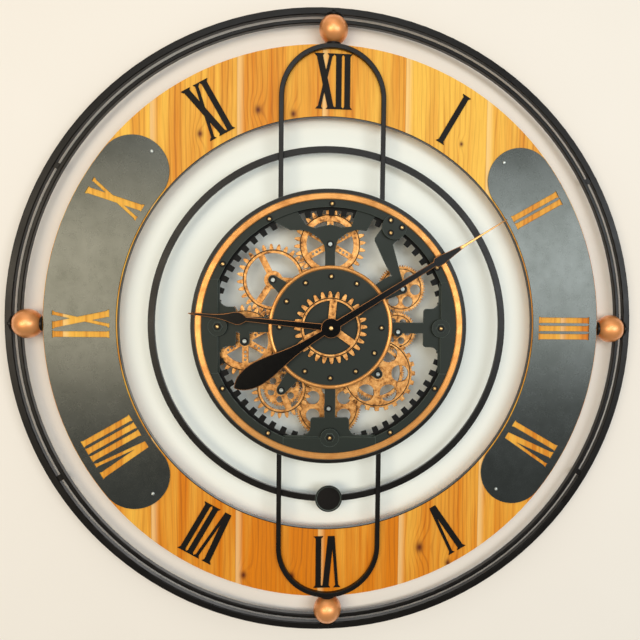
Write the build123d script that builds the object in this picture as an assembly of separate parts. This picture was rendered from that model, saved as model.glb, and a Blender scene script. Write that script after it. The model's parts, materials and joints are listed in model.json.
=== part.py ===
from build123d import *
import os
from math import acos, atan2, cos, hypot, pi, radians, sin, sqrt, tan

os.makedirs("parts", exist_ok=True)

# Sizes are in millimetres. Shapes are drawn in a front view, x to the right and y up, with z the
# distance from the wall. They are stood up against the wall when they are saved.

# Double rim
outer_rim_width = 8.8
rim_gap = 5.6
inner_rim_width = 5.2
rim_clearance = 27.4
rim_back = 10.0
rim_depth = 9.0
rim_edge_round = 1.0
tie_width = 7.5
tie_setback = 1.5
tie_bearings = (30.0, 150.0, 210.0, 330.0)

# Wood dial
wood_gap = 37.0
wood_width = 88.8
wood_back = 16.0
wood_thickness = 7.0
hoop_thickness = 1.0

# Balls between the wood and the outer rim
ball_pad = 2.2
ball_bulge = 1.4
pad_radius = 9.2
stud_radius = 2.0
stud_in_wood = 20.0
stud_in_rim = 5.0
ball_bearings = (0.0, 90.0, 180.0, 270.0)

# Hour plates and numerals
plate_thickness = 1.5
plate_inner_margin = 1.3
plate_outer_margin = 1.0
plate_half_angle = 38.0
plate_screw_angle = 44.0
numeral_height = 68.5
numeral_margin = 11.5
bar_width = 7.2
slant_width = 7.8
hairline_width = 4.0
letter_span = 15.0
letter_gap = 3.6
slant_overlap = 1.6
serif_depth = 3.2
applied_serif = 2.6
cut_serif = 1.1

# Loops, middle ring and foot plate
loop_width = 6.0
loop_depth = 6.0
loop_radius = 64.0
loop_edge_round = 0.8
case_gap = 48.2
middle_width = 8.1
middle_depth = 6.0
foot_plate_radius = 17.5
foot_plate_thickness = 2.0
foot_plate_rim = 2.0

# Depths through the movement, from the wall forwards
cover_thickness = 3.0
cell_diameter = 14.5
cell_room = 15.0
floor_thickness = 2.0
housing_to_wheels = 2.0
fine_thickness = 4.0
wheel_layer_gap = 1.5
coarse_thickness = 5.0
toothed_thickness = 3.0
bracket_thickness = 4.0
front_thickness = 4.0
bezel_thickness = 2.5
centre_gear_thickness = 4.0
stem_nut_thickness = 2.5
hand_thickness = 1.5
hand_gap = 1.5
minute_collar = 2.0
collar_gap = 0.5
hand_nut_height = 2.5

# Movement rings
wheel_clearance = 3.5
case_wall = 5.0
case_back = 12.0
case_proud = 1.0
case_lip_width = 10.3
case_lip_depth = 3.0
ring_fit = 0.2
bezel_width = 8.0
bezel_chamfer = 1.0
front_lead = 9.3
raised_rim_width = 16.3
inner_teeth = 60
tooth_step = 3.0
inner_tooth_height = 7.0
inner_tooth_root_width = 8.0
inner_tooth_tip_width = 6.8
chord_drop = 10.5
bracket_overlap = 6.2

# Brackets
segment_lead = 2.0
segment_half_height = 58.0
pad_turns = (0.0, 180.0, -90.0)
pad_proud = 0.6
block_length = 21.5
bottom_block_length = 24.5
block_half_width = 24.5
arm_half_width = 6.8
left_arm_extra = 5.0
arm_overlap = 9.7
block_round = 4.0
block_fillet = 10.0
boss_radius = 11.5
boss_height = 5.5
boss_nut_radius = 6.3
boss_nut_height = 1.5
boss_fit = 0.3
click_plate_radius = 15.5
click_plate_inset = 1.0
click_plate_bearing = 58.4
click_screw_setback = 5.7
click_screw_pitch = 13.4
click_screw_spread = 3.1
pivot_lug_extra = 1.0
top_arm_half_width = 6.2

# Outline of the top bracket: offset from the pivot's axis, drop below the opening of the front ring
top_left_lower = ((-8.0, 46.4), (-14.0, 38.5), (-25.5, 31.3), (-35.0, 28.6), (-49.5, 29.2), (-59.5, 24.3))
top_middle_upper = (
    (-30.3, 22.5), (-19.3, 26.1), (-10.0, 23.6), (0.6, 21.3), (13.8, 24.5), (25.8, 23.3)
)
top_right_lower = ((45.2, 28.2), (32.6, 26.9), (21.0, 31.2), (9.7, 39.8), (7.5, 46.4))
top_waist_drop = 55.2
top_left_bearings = (118.8, 112.7, 106.6)
top_right_bearings = (78.0, 73.5, 69.0)

# Outline of the click arm: offsets from the centre of its plate, then from its pivot
click_head_left = ((-16.2, -2.8), (-23.9, -13.7), (-23.9, -17.3))
click_head_right = ((4.8, -15.9), (-1.0, -21.6))
click_elbow_left = ((-22.4, 30.9), (-14.1, 16.5), (-18.9, 15.4), (-31.3, 7.6))
click_elbow_right = (-0.6, 11.2)
click_head_bearings = (65.0, 59.0, 53.0)
click_foot_bearings = (46.0, 30.0)

# Centre
centre_radius = 72.6
centre_ring_width = 4.9
centre_ring_proud = 2.0
centre_ring_round = 2.2
spider_radius = 50.0
lug_radius = 6.0
lug_base_radius = 11.0
lug_base_distance = 57.0
centre_gear_teeth = 28
centre_gear_tip = 45.5
centre_gear_root = 37.7
centre_gear_rim_inner = 33.7
centre_gear_spoke = 9.0
centre_gear_hub = 11.0
centre_gear_phase = 91.8
centre_spoke_bearing = 85.0
stem_nut_corner = 6.8

# Screws
screw_head_radius = 3.0
screw_head_height = 2.0
screw_shank_radius = 1.5
screw_length = 6.5
screw_slot_width = 0.8
screw_slot_depth = 0.7
screw_head_round = 0.9
centre_screw_inset = 8.9
centre_screw_count = 12
frame_screw_inset = 5.3
frame_screw_bearings = (90.0, 30.0, 330.0, 300.0, 240.0, 210.0, 150.0, 120.0)

# Wheel train
coarse_module = 3.0
fine_module = 1.0
pressure_angle = 20.0
coarse_backlash = 0.45
fine_backlash = 0.35
teeth_top = 28
teeth_upper_left = 28
teeth_left = 28
teeth_lower_left = 23
teeth_lower_left_fine = 46
teeth_bottom = 82
teeth_lower_right_fine = 70
teeth_right = 49
teeth_upper_right = 60
teeth_pinion = 20
blunt_teeth = 24
blunt_tip = 49.0
blunt_root = 44.6
lower_right_distance = 84.6
lower_right_bearing = -44.4
bearing_to_right = 65.3
bearing_right_to_upper_right = 84.8
bearing_to_bottom = 215.3
bearing_bottom_to_lower_left = 158.5
bearing_lower_left_to_left = 126.6
bearing_left_to_upper_left = 65.8
bearing_upper_left_to_top = 32.9
bearing_upper_right_to_pinion = 201.3
post_radius = 2.5
running_fit = 0.05
hub_radius = 6.5
hub_end_play = 0.4
flange_radius = 4.5
flange_thickness = 1.2
post_proud = 0.8
groove_width = 1.0
groove_depth = 0.8
spoke_setback = 0.8
spoke_root = 1.0
spoke_width = 8.0
spoke_hole_radius = 1.4
spoke_hole_places = (14.5, 19.5, 24.5)
top_rim_inner = 29.5
top_hub_disc = 9.0
upper_left_rim_inner = 33.5
upper_left_hub_disc = 11.5
upper_left_spoke_bearing = 117.0
left_rim_inner = 28.5
left_hub_disc = 8.6
lower_left_rim_inner = 26.5
lower_left_hub_disc = 9.0
lower_left_spoke_bearing = 290.0
lower_left_hole_circle = 14.5
lower_left_hole_radius = 4.2
lower_left_hole_turn = 20.0
fine_groove_inset = 3.0
bottom_hole_circle = 23.0
bottom_hole_radius = 8.7
bottom_hole_turn = 30.0
right_hole_circle = 13.6
right_hole_radius = 4.4
right_hole_turn = 55.0
upper_right_hole_circle = 18.2
upper_right_hole_radius = 6.7
upper_right_hole_turn = 58.0
lower_right_hole_circle = 29.0
lower_right_hole_radius = 10.8
lower_right_hub_extra = 2.0
lower_right_disc = 13.0
lower_right_fine_rim = 30.0
blunt_root_share = 0.27
blunt_tip_share = 0.2
blunt_groove_inset = 2.5

# Rear housing and what it holds
housing_wall = 2.0
pillar_radius = 5.0
pillar_places = ((-42.0, 5.0), (-2.0, -44.0), (25.0, 38.0))
cover_screw_inset = 8.0
cover_screw_bearings = (90.0, 210.0, 330.0)
cover_boss_radius = 4.5
module_side = 56.0
module_corner = 4.0
module_gap = 2.0
stem_radius = 4.0
stem_fit = 0.1
pipe_radius = 2.8
arbor_radius = 1.75
arbor_collar_width = 2.0
arbor_setback = 1.0
pipe_start = 14.0
arbor_start = 12.0
knob_radius = 6.5
knob_drop = 18.0
knob_shaft_radius = 1.5
knob_shaft_depth = 4.0
knob_end_play = 0.5
knob_gap = 1.0
knob_rim = 1.5
knob_dimple = 1.0
knob_recess = 0.8
cell_length = 50.5
cell_tip_radius = 2.75
cell_tip_length = 1.2
motor_radius = 10.0
motor_gap = 1.0
motor_clearance = 0.7
drive_shaft_radius = 1.5
drive_shaft_proud = 0.5

# Hands
hand_hub_radius = 12.3
minute_bearing = 32.4
hour_bearing = 174.6
hour_hub_radius = 9.5
hand_nut_radius = 2.8
hand_nut_round = 1.5

# Half widths along the hands, measured from the hub
minute_bar = ((0, 4.8), (148, 3.3), (151, 3.1), (154, 6.3), (163, 5.9), (196, 1.6), (259, 0.6))
minute_tail = (
    (0, 3.4), (-24, 4.0), (-48, 5.6), (-72, 9.6), (-92, 13.4), (-108, 14.5), (-124, 11.6), (-139, 0.6)
)
hour_bar = ((0, 4.4), (106, 2.7))
hour_spade = (
    (104, 2.7), (108, 5.6), (114, 7.8), (119, 7.3), (127, 5.0), (136, 3.1), (147, 2.1), (174, 0.6)
)

# Wall hanger
hanger_setback = 54.6
hanger_width = 60.0
hanger_depth = 26.0
hanger_thickness = 2.0
hanger_hole_radius = 4.5
hanger_slot_radius = 2.5
hanger_slot_rise = 8.0
hanger_pocket_radius = 9.0
hanger_pocket_depth = 4.0
hanger_screw_offset = 22.0


def polar(distance, bearing):
    return (distance * cos(radians(bearing)), distance * sin(radians(bearing)))


def step_from(point, distance, bearing):
    dx, dy = polar(distance, bearing)
    return (point[0] + dx, point[1] + dy)


# Wheel centres, each one placed from the wheel it meshes with
def fine_distance(first, second):
    return fine_module * (first + second) / 2


def coarse_distance(first, second):
    return coarse_module * (first + second) / 2


lower_right = polar(lower_right_distance, lower_right_bearing)
right = step_from(lower_right, fine_distance(teeth_lower_right_fine, teeth_right), bearing_to_right)
upper_right = step_from(right, fine_distance(teeth_right, teeth_upper_right), bearing_right_to_upper_right)
pinion = step_from(upper_right, fine_distance(teeth_upper_right, teeth_pinion), bearing_upper_right_to_pinion)
bottom = step_from(lower_right, fine_distance(teeth_lower_right_fine, teeth_bottom), bearing_to_bottom)
lower_left = step_from(
    bottom, fine_distance(teeth_bottom, teeth_lower_left_fine), bearing_bottom_to_lower_left
)
left = step_from(lower_left, coarse_distance(teeth_lower_left, teeth_left), bearing_lower_left_to_left)
upper_left = step_from(left, coarse_distance(teeth_left, teeth_upper_left), bearing_left_to_upper_left)
top = step_from(upper_left, coarse_distance(teeth_upper_left, teeth_top), bearing_upper_left_to_top)


# The mating wheel's turn that puts one of its gaps on a tooth of the first wheel
def mating_phase(phase, teeth, mate_teeth, bearing):
    pitches = (bearing - phase) * teeth / 360.0
    return bearing + 180.0 - (0.5 - pitches) * 360.0 / mate_teeth


phase_lower_right = 0.0
phase_right = mating_phase(phase_lower_right, teeth_lower_right_fine, teeth_right, bearing_to_right)
phase_upper_right = mating_phase(
    phase_right, teeth_right, teeth_upper_right, bearing_right_to_upper_right
)
phase_pinion = mating_phase(
    phase_upper_right, teeth_upper_right, teeth_pinion, bearing_upper_right_to_pinion
)
phase_bottom = mating_phase(phase_lower_right, teeth_lower_right_fine, teeth_bottom, bearing_to_bottom)
phase_lower_left_fine = mating_phase(
    phase_bottom, teeth_bottom, teeth_lower_left_fine, bearing_bottom_to_lower_left
)
phase_lower_left = 0.0
phase_left = mating_phase(phase_lower_left, teeth_lower_left, teeth_left, bearing_lower_left_to_left)
phase_upper_left = mating_phase(phase_left, teeth_left, teeth_upper_left, bearing_left_to_upper_left)
phase_top = mating_phase(phase_upper_left, teeth_upper_left, teeth_top, bearing_upper_left_to_top)


# Furthest that any wheel's teeth reach from the hands' axis
def tip_reach(at, module, teeth):
    return hypot(*at) + module * (teeth / 2 + 1)


wheel_reach = max(
    tip_reach(top, coarse_module, teeth_top),
    tip_reach(upper_left, coarse_module, teeth_upper_left),
    tip_reach(left, coarse_module, teeth_left),
    tip_reach(lower_left, coarse_module, teeth_lower_left),
    tip_reach(bottom, fine_module, teeth_bottom),
    hypot(*lower_right) + blunt_tip,
    tip_reach(right, fine_module, teeth_right),
    tip_reach(upper_right, fine_module, teeth_upper_right),
)

# Radii from the wheels outwards
case_inner = wheel_reach + wheel_clearance + case_lip_width
case_radius = case_inner + case_wall
ring_outer = case_inner - ring_fit
bezel_inner = ring_outer - bezel_width
front_inner = bezel_inner - front_lead
raised_rim_inner = ring_outer - raised_rim_width
inner_tooth_root = front_inner - tooth_step
chord_distance = front_inner - chord_drop
bracket_reach = front_inner + bracket_overlap
block_inner = chord_distance - block_length
bottom_block_top = chord_distance - bottom_block_length
click_plate_distance = front_inner - click_plate_inset
click_screw_outer = bezel_inner - click_screw_setback
click_screw_inner = click_screw_outer - click_screw_pitch
frame_screw_circle = bezel_inner - frame_screw_inset
centre_screw_circle = centre_radius - centre_screw_inset
arm_inner_end = centre_screw_circle - arm_overlap
centre_ring_outer = centre_radius + centre_ring_width
middle_inner = case_radius + case_gap
middle_outer = middle_inner + middle_width
wood_inner = middle_outer + wood_gap
wood_outer = wood_inner + wood_width
numeral_middle = wood_outer - numeral_margin - numeral_height / 2
hanger_height = wood_outer - hanger_setback
housing_radius = hypot(*pinion) + motor_radius + motor_clearance + housing_wall
cover_screw_circle = housing_radius - cover_screw_inset
cell_room_edge = sqrt((housing_radius - housing_wall) ** 2 - (cell_length / 2) ** 2)
cell_height = (module_side / 2 + cell_room_edge) / 2
loop_centre = wood_outer - loop_width / 2 - loop_radius
inner_rim_inner = wood_outer + rim_clearance
inner_rim_outer = inner_rim_inner + inner_rim_width
outer_rim_inner = inner_rim_outer + rim_gap
rim_radius = outer_rim_inner + outer_rim_width
ball_distance = (wood_outer + outer_rim_inner) / 2
ball_flat = (outer_rim_inner - wood_outer) / 2 - ball_pad
ball_radius = ball_flat + ball_bulge

# Depths from the wall forwards
wood_front = wood_back + wood_thickness
ball_depth = wood_back + wood_thickness / 2
plate_front = wood_front + plate_thickness
loop_front = wood_front + loop_depth
floor_back = cover_thickness + cell_room
housing_front = floor_back + floor_thickness
fine_back = housing_front + housing_to_wheels
fine_front = fine_back + fine_thickness
coarse_back = fine_front + wheel_layer_gap
coarse_front = coarse_back + coarse_thickness
toothed_back = coarse_front + wheel_layer_gap
bracket_back = toothed_back + toothed_thickness
bracket_front = bracket_back + bracket_thickness
front_face = bracket_front + front_thickness
pad_front = front_face + pad_proud
bezel_front = front_face + bezel_thickness
gear_front = front_face + centre_gear_thickness
nut_front = gear_front + stem_nut_thickness
hour_back = nut_front + hand_gap
hour_front = hour_back + hand_thickness
minute_back = hour_front + collar_gap + minute_collar
minute_front = minute_back + hand_thickness
nut_top = minute_front + hand_nut_height
hub_front = bracket_back - hub_end_play
flange_front = fine_back - hub_end_play


# Basic shapes
def plate(sketch, back, front):
    return Pos(0, 0, back) * extrude(sketch, amount=front - back, dir=(0, 0, 1))


def disc(radius, back, front, at=(0, 0)):
    base = (Align.CENTER, Align.CENTER, Align.MIN)
    return Pos(at[0], at[1], back) * Cylinder(radius, front - back, align=base)


def ring(inner, outer, back, front, at=(0, 0)):
    return disc(outer, back, front, at) - disc(inner, back, front, at)


# A closed outline, always run anticlockwise so that outlines join cleanly
def outline(points):
    pairs = zip(points, points[1:] + points[:1])
    turn = sum(x0 * y1 - x1 * y0 for (x0, y0), (x1, y1) in pairs)
    ordered = points if turn > 0 else points[::-1]
    return Polygon(*ordered, align=None)


def box_face(x0, x1, y0, y1):
    return outline([(x0, y0), (x1, y0), (x1, y1), (x0, y1)])


def hull_of(*circles):
    faces = [Pos(x, y) * Circle(radius) for x, y, radius in circles]
    edges = [edge for face in faces for edge in face.edges()]
    return make_hull(edges)


def bar_between(start, end, width):
    return hull_of((start[0], start[1], width / 2), (end[0], end[1], width / 2))


def radial_rod(radius, start, end, bearing, depth):
    base = (Align.CENTER, Align.CENTER, Align.MIN)
    rod = Pos(start, 0, depth) * Rot(0, 90, 0) * Cylinder(radius, end - start, align=base)
    return Rot(0, 0, bearing) * rod


def rounded(sketch, places, radius):
    corners = []
    for place in places:
        spot = Vector(place[0], place[1], 0)
        corners.append(min(sketch.vertices(), key=lambda corner: (Vector(corner) - spot).length))
    return fillet(corners, radius)


def solids_of(shapes):
    return [solid for shape in shapes for solid in shape.solids()]


def save(name, *shapes):
    standing = Rot(90, 0, 0) * Compound(solids_of(shapes))
    export_step(standing, f"parts/{name}.step")


# Screw with a slotted pan head, standing on a face that looks forwards
def screw(at, face, length=screw_length, turn=0.0):
    head = disc(screw_head_radius, 0, screw_head_height)
    head = fillet(head.edges().sort_by(Axis.Z)[-1], screw_head_round)
    slot = Pos(0, 0, screw_head_height) * Box(
        screw_head_radius * 1.3, screw_slot_width, screw_slot_depth * 2
    )
    shank = disc(screw_shank_radius, -length, 0)
    return Pos(at[0], at[1], face) * Rot(0, 0, turn) * (head + shank - slot)


def rear_screw(at, face, length=screw_length):
    return Pos(at[0], at[1], face) * Rot(180, 0, 0) * screw((0, 0), 0, length)


def without(shape, cutters):
    for cutter in cutters:
        shape = shape - cutter
    return shape


# Double rim
def outer_rim():
    rim = ring(outer_rim_inner, rim_radius, rim_back, rim_back + rim_depth)
    rim = fillet(rim.edges(), rim_edge_round)
    return without(rim, ball_studs())


def inner_rim():
    rim = ring(inner_rim_inner, inner_rim_outer, rim_back, rim_back + rim_depth)
    rim = fillet(rim.edges(), rim_edge_round)
    return without(rim, ball_studs())


def rim_ties():
    back = rim_back + tie_setback
    front = rim_back + rim_depth - tie_setback
    between = ring(inner_rim_outer, outer_rim_inner, back, front)
    bar = plate(box_face(wood_inner, rim_radius, -tie_width / 2, tie_width / 2), back, front)
    return [Rot(0, 0, bearing) * bar & between for bearing in tie_bearings]


# Balls, their pads and the studs that run through them
def ball_stud(bearing):
    start = wood_outer - stud_in_wood
    end = outer_rim_inner + stud_in_rim
    return radial_rod(stud_radius, start, end, bearing, ball_depth)


def ball_studs():
    return [ball_stud(bearing) for bearing in ball_bearings]


def rim_balls():
    seat = ring(inner_rim_inner, inner_rim_outer, 0, rim_back + rim_depth)
    sphere = Pos(ball_distance, 0, ball_depth) * Rot(0, 90, 0) * Sphere(ball_radius)
    trim = Pos(ball_distance, 0, ball_depth) * Box(ball_flat * 2, ball_radius * 3, ball_radius * 3)
    ball = (sphere & trim) - seat - ball_stud(0.0)
    return [Rot(0, 0, bearing) * ball for bearing in ball_bearings]


def ball_pads():
    near = radial_rod(pad_radius, wood_inner, ball_distance - ball_flat, 0.0, ball_depth)
    near = near - disc(wood_outer, ball_depth - pad_radius, ball_depth + pad_radius)
    far = radial_rod(pad_radius, ball_distance + ball_flat, rim_radius, 0.0, ball_depth)
    far = far & disc(outer_rim_inner, ball_depth - pad_radius, ball_depth + pad_radius)
    pair = [pad - ball_stud(0.0) for pad in (near, far)]
    return [Rot(0, 0, bearing) * pad for bearing in ball_bearings for pad in pair]


# Wood dial with its hoop
def wood_dial():
    dial = ring(wood_inner, wood_outer, wood_back, wood_front)
    pocket = hull_of(
        (0, hanger_height, hanger_pocket_radius),
        (0, hanger_height + hanger_slot_rise, hanger_pocket_radius),
    )
    dial = dial - plate(pocket, wood_back, wood_back + hanger_pocket_depth)
    return without(dial, ball_studs() + wood_screws())


def dial_edge_hoop():
    return ring(wood_inner - hoop_thickness, wood_inner, wood_back, wood_front)


# Roman numerals, drawn centred with their feet towards the hub
def serif(x, edge, width, overhang, inward):
    outer_half = width / 2 + overhang
    return outline(
        [
            (x - outer_half, edge),
            (x + outer_half, edge),
            (x + width / 2, edge + inward),
            (x - width / 2, edge + inward),
        ]
    )


def stroke(x_top, x_foot, width, overhang, foot_serif=True):
    half = numeral_height / 2
    line = outline(
        [
            (x_top - width / 2, half),
            (x_foot - width / 2, -half),
            (x_foot + width / 2, -half),
            (x_top + width / 2, half),
        ]
    )
    line = line + serif(x_top, half, width, overhang, -serif_depth)
    if foot_serif:
        line = line + serif(x_foot, -half, width, overhang, serif_depth)
    return line


def letter(name, x, overhang, swapped):
    if name == "I":
        return stroke(x + bar_width / 2, x + bar_width / 2, bar_width, overhang)
    left_top = x + slant_width / 2
    right_top = left_top + letter_span
    if name == "X":
        thick = stroke(left_top, right_top, slant_width, overhang)
        thin = stroke(right_top, left_top, hairline_width, overhang)
        return thick + thin
    foot = left_top + letter_span / 2
    thick_top, thin_top = (right_top, left_top) if swapped else (left_top, right_top)
    lean = 1 if swapped else -1
    thick = stroke(thick_top, foot + lean * hairline_width / 4, slant_width, overhang, False)
    thin = stroke(thin_top, foot - lean * slant_width / 4, hairline_width, overhang, False)
    return thick + thin


def numeral(text, overhang, swapped):
    slanted = letter_span + slant_width - slant_overlap
    widths = {"I": bar_width, "V": slanted, "X": slanted}
    total = sum(widths[name] for name in text) + letter_gap * (len(text) - 1)
    x = -total / 2
    glyph = None
    for name in text:
        drawn = letter(name, x, overhang, swapped)
        glyph = drawn if glyph is None else glyph + drawn
        x = x + widths[name] + letter_gap
    return glyph


def numeral_at(hour, text, overhang, swapped=False):
    return Rot(0, 0, -30.0 * hour) * Pos(0, numeral_middle) * numeral(text, overhang, swapped)


def applied_numeral(hour, text):
    swapped = hour == 6
    return plate(numeral_at(hour, text, applied_serif, swapped), wood_front, plate_front)


# Hour plates with round ends and cut-out numerals
def hour_plate(side_bearing, hours):
    inner = wood_inner + plate_inner_margin
    outer = wood_outer - plate_outer_margin
    reach = rim_radius * 2
    wedge = outline(
        [
            (0, 0),
            polar(reach, side_bearing - plate_half_angle),
            polar(reach, side_bearing),
            polar(reach, side_bearing + plate_half_angle),
        ]
    )
    face = (Circle(outer) - Circle(inner)) & wedge
    for end in (-plate_half_angle, plate_half_angle):
        x, y = polar((inner + outer) / 2, side_bearing + end)
        face = face + Pos(x, y) * Circle((outer - inner) / 2)
    for hour, text in hours:
        face = face - numeral_at(hour, text, cut_serif)
    return without(plate(face, wood_front, plate_front), wood_screws())


def wood_screws():
    made = []
    for side_bearing in (0.0, 180.0):
        for end in (-plate_screw_angle, plate_screw_angle):
            at = polar(numeral_middle, side_bearing + end)
            made.append(screw(at, plate_front, turn=side_bearing + end))
    for x in (-hanger_screw_offset, hanger_screw_offset):
        made.append(rear_screw((x, hanger_height), wood_back - hanger_thickness))
    return made


# Wall hanger with a keyhole
def hanger():
    face = Pos(0, hanger_height) * RectangleRounded(hanger_width, hanger_depth, hanger_depth / 4)
    keyhole = Pos(0, hanger_height) * Circle(hanger_hole_radius)
    slot = hull_of(
        (0, hanger_height, hanger_slot_radius),
        (0, hanger_height + hanger_slot_rise, hanger_slot_radius),
    )
    strap = plate(face - keyhole - slot, wood_back - hanger_thickness, wood_back)
    return without(strap, wood_screws())


# Loops that carry the movement, and the middle ring behind them
def loop(turn):
    outside = Pos(0, loop_centre) * Circle(loop_radius + loop_width / 2)
    inside = Pos(0, loop_centre) * Circle(loop_radius - loop_width / 2)
    outer_half = loop_radius + loop_width / 2
    inner_half = loop_radius - loop_width / 2
    face = outside + box_face(-outer_half, outer_half, 0, loop_centre)
    face = face - inside - box_face(-inner_half, inner_half, -1, loop_centre)
    bars = plate(face, wood_front, loop_front)
    bars = Rot(0, 0, turn) * (bars - disc(case_radius, wood_front, loop_front))
    return fillet(bars.faces().sort_by(Axis.Z)[-1].outer_wire().edges(), loop_edge_round)


def middle_ring():
    return ring(middle_inner, middle_outer, wood_front - middle_depth, wood_front)


def foot_plate():
    at = (0, -(middle_inner + middle_outer) / 2)
    front = wood_front + foot_plate_thickness
    dish = disc(foot_plate_radius - foot_plate_rim, front - foot_plate_thickness / 3, front, at)
    return disc(foot_plate_radius, wood_front, front, at) - dish


# Case and rings of the movement
def case_ring():
    wall = ring(case_inner, case_radius, case_back, front_face + case_proud)
    lip = ring(case_inner - case_lip_width, case_inner, toothed_back - case_lip_depth, toothed_back)
    return wall + lip


def gold_bezel():
    band = ring(bezel_inner, ring_outer, front_face, bezel_front)
    front_edges = band.edges().filter_by_position(Axis.Z, bezel_front, bezel_front)
    return chamfer(front_edges, bezel_chamfer)


def toothed_ring():
    face = Circle(ring_outer) - Circle(inner_tooth_root)
    root_half = inner_tooth_root_width / 2
    tip_half = inner_tooth_tip_width / 2
    tip = inner_tooth_root - inner_tooth_height
    tooth = outline(
        [
            (tip, -tip_half),
            (inner_tooth_root + 1, -root_half),
            (inner_tooth_root + 1, root_half),
            (tip, tip_half),
        ]
    )
    turns = [360.0 * index / inner_teeth for index in range(inner_teeth)]
    face = face + [Rot(0, 0, turn) * tooth for turn in turns]
    wall = ring(raised_rim_inner, ring_outer, bracket_back, bracket_front)
    for bracket in (left_face(), right_face(), bottom_face(), top_face(), click_face()):
        wall = wall - plate(bracket, bracket_back, bracket_front)
    whole = plate(face, toothed_back, bracket_back) + wall
    return without(whole, frame_screws())


def front_ring():
    face = Circle(ring_outer) - Circle(front_inner)
    for turn in pad_turns:
        face = face - Rot(0, 0, turn) * pad_face(ring_fit)
    return without(plate(face, bracket_front, front_face), frame_screws() + click_screws())


# Brackets, all in one layer between the toothed ring and the front ring. Three of them carry a pad
# that fills a notch of the front ring and stands a little proud of it.
def pad_face(grown=0.0):
    reach = bezel_inner - ring_fit + grown
    half = segment_half_height + grown
    return Circle(reach) & box_face(chord_distance - grown, reach, -half, half)


def raised_pad(turn):
    pad = plate(Rot(0, 0, turn) * pad_face(), bracket_front, pad_front)
    return without(pad, [disc(boss_radius + boss_fit, bracket_front, pad_front, at) for at in boss_places()])


def boss_places():
    return [(-chord_distance, 0), (chord_distance, 0), (0, -chord_distance)]


def side_face(block_start, arm_low, arm_high):
    edge = chord_distance - segment_lead
    segment = Circle(bracket_reach) & box_face(
        edge, bracket_reach, -segment_half_height, segment_half_height
    )
    block = box_face(block_start, edge + 1, -block_half_width, block_half_width)
    block = rounded(
        block, [(block_start, -block_half_width), (block_start, block_half_width)], block_round
    )
    arm = box_face(arm_inner_end, block_start + 1, arm_low, arm_high)
    face = segment + block + arm
    return rounded(face, [(edge, -block_half_width), (edge, block_half_width)], block_fillet)


def right_face():
    face = side_face(block_inner, -arm_half_width, arm_half_width)
    face = face + Pos(*right) * Circle(lug_radius)
    return face


def left_face():
    face = side_face(block_inner, -arm_half_width - left_arm_extra, arm_half_width)
    face = Rot(0, 0, 180) * face
    return face + bar_between(left, (left[0], 0), lug_radius * 2)


def bottom_face():
    face = side_face(bottom_block_top, -arm_half_width, arm_half_width)
    return Rot(0, 0, -90) * face + Pos(*bottom) * Circle(lug_radius)


def top_face():
    axis = top[0]

    def below(pairs):
        return [(axis + offset, front_inner - drop) for offset, drop in pairs]

    def over(bearings):
        first, middle, last = bearings
        outer = [polar(bracket_reach, first), polar(rim_side, middle), polar(bracket_reach, last)]
        return [polar(front_inner, first)] + outer + [polar(front_inner, last)]

    rim_side = ring_outer
    waist = front_inner - top_waist_drop
    points = [(axis - top_arm_half_width, arm_inner_end), (axis - top_arm_half_width, waist)]
    points = points + below(top_left_lower) + over(top_left_bearings) + below(top_middle_upper)
    points = points + over(top_right_bearings) + below(top_right_lower)
    points = points + [(axis + top_arm_half_width, waist), (axis + top_arm_half_width, arm_inner_end)]
    face = outline(points) & Circle(bracket_reach)
    return face + Pos(*top) * Circle(lug_radius + pivot_lug_extra)


def click_face():
    head = polar(click_plate_distance, click_plate_bearing)

    def shifted(origin, pairs):
        return [(origin[0] + dx, origin[1] + dy) for dx, dy in pairs]

    first, middle, last = click_head_bearings
    points = [polar(ring_outer, first)]
    points = points + shifted(head, click_head_left) + shifted(upper_right, click_elbow_left)
    points = points + [polar(arm_inner_end, bearing) for bearing in click_foot_bearings]
    points = points + shifted(upper_right, [(0, -lug_radius), (lug_radius, 0), click_elbow_right])
    points = points + shifted(head, click_head_right[::-1])
    points = points + [polar(bracket_reach, last), polar(ring_outer, middle)]
    face = outline(points) & Circle(bracket_reach)
    return face + Pos(*upper_right) * Circle(lug_radius)


def post_hole(at):
    return disc(post_radius, bracket_back, bracket_front, at)


def bracket(face, pivot, pad_turn=None):
    body = plate(face, bracket_back, bracket_front) - post_hole(pivot)
    if pad_turn is not None:
        body = body + raised_pad(pad_turn)
    return without(body, frame_screws() + centre_screws() + click_screws() + boss_screws())


def frame_bosses():
    made = []
    for at in boss_places():
        top_face_level = bracket_front + boss_height
        body = disc(boss_radius, bracket_front, top_face_level, at)
        hexagon = Pos(*at) * RegularPolygon(boss_nut_radius, 6)
        nut = plate(hexagon, top_face_level, top_face_level + boss_nut_height)
        made.append(without(body + nut, boss_screws()))
    return made


def click_plate():
    at = polar(click_plate_distance, click_plate_bearing)
    face = (Pos(*at) * Circle(click_plate_radius)) & Circle(bezel_inner - ring_fit)
    pad = (Pos(*at) * Circle(click_plate_radius)) & Circle(front_inner - ring_fit)
    body = plate(face, front_face, bezel_front) + plate(pad, bracket_front, front_face)
    return without(body, click_screws())


# Brass screws
def centre_screws():
    step = 360.0 / centre_screw_count
    places = [polar(centre_screw_circle, step * index) for index in range(centre_screw_count)]
    return [screw(at, front_face, turn=37.0 * index) for index, at in enumerate(places)]


def frame_screws():
    places = [polar(frame_screw_circle, bearing) for bearing in frame_screw_bearings]
    return [screw(at, front_face, turn=53.0 * index) for index, at in enumerate(places)]


def click_screws():
    bearing = click_plate_bearing
    places = [
        polar(click_screw_outer, bearing + click_screw_spread),
        polar(click_screw_outer, bearing - click_screw_spread),
        polar(click_screw_inner, bearing),
    ]
    return [screw(at, bezel_front, turn=70.0 * index) for index, at in enumerate(places)]


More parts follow.
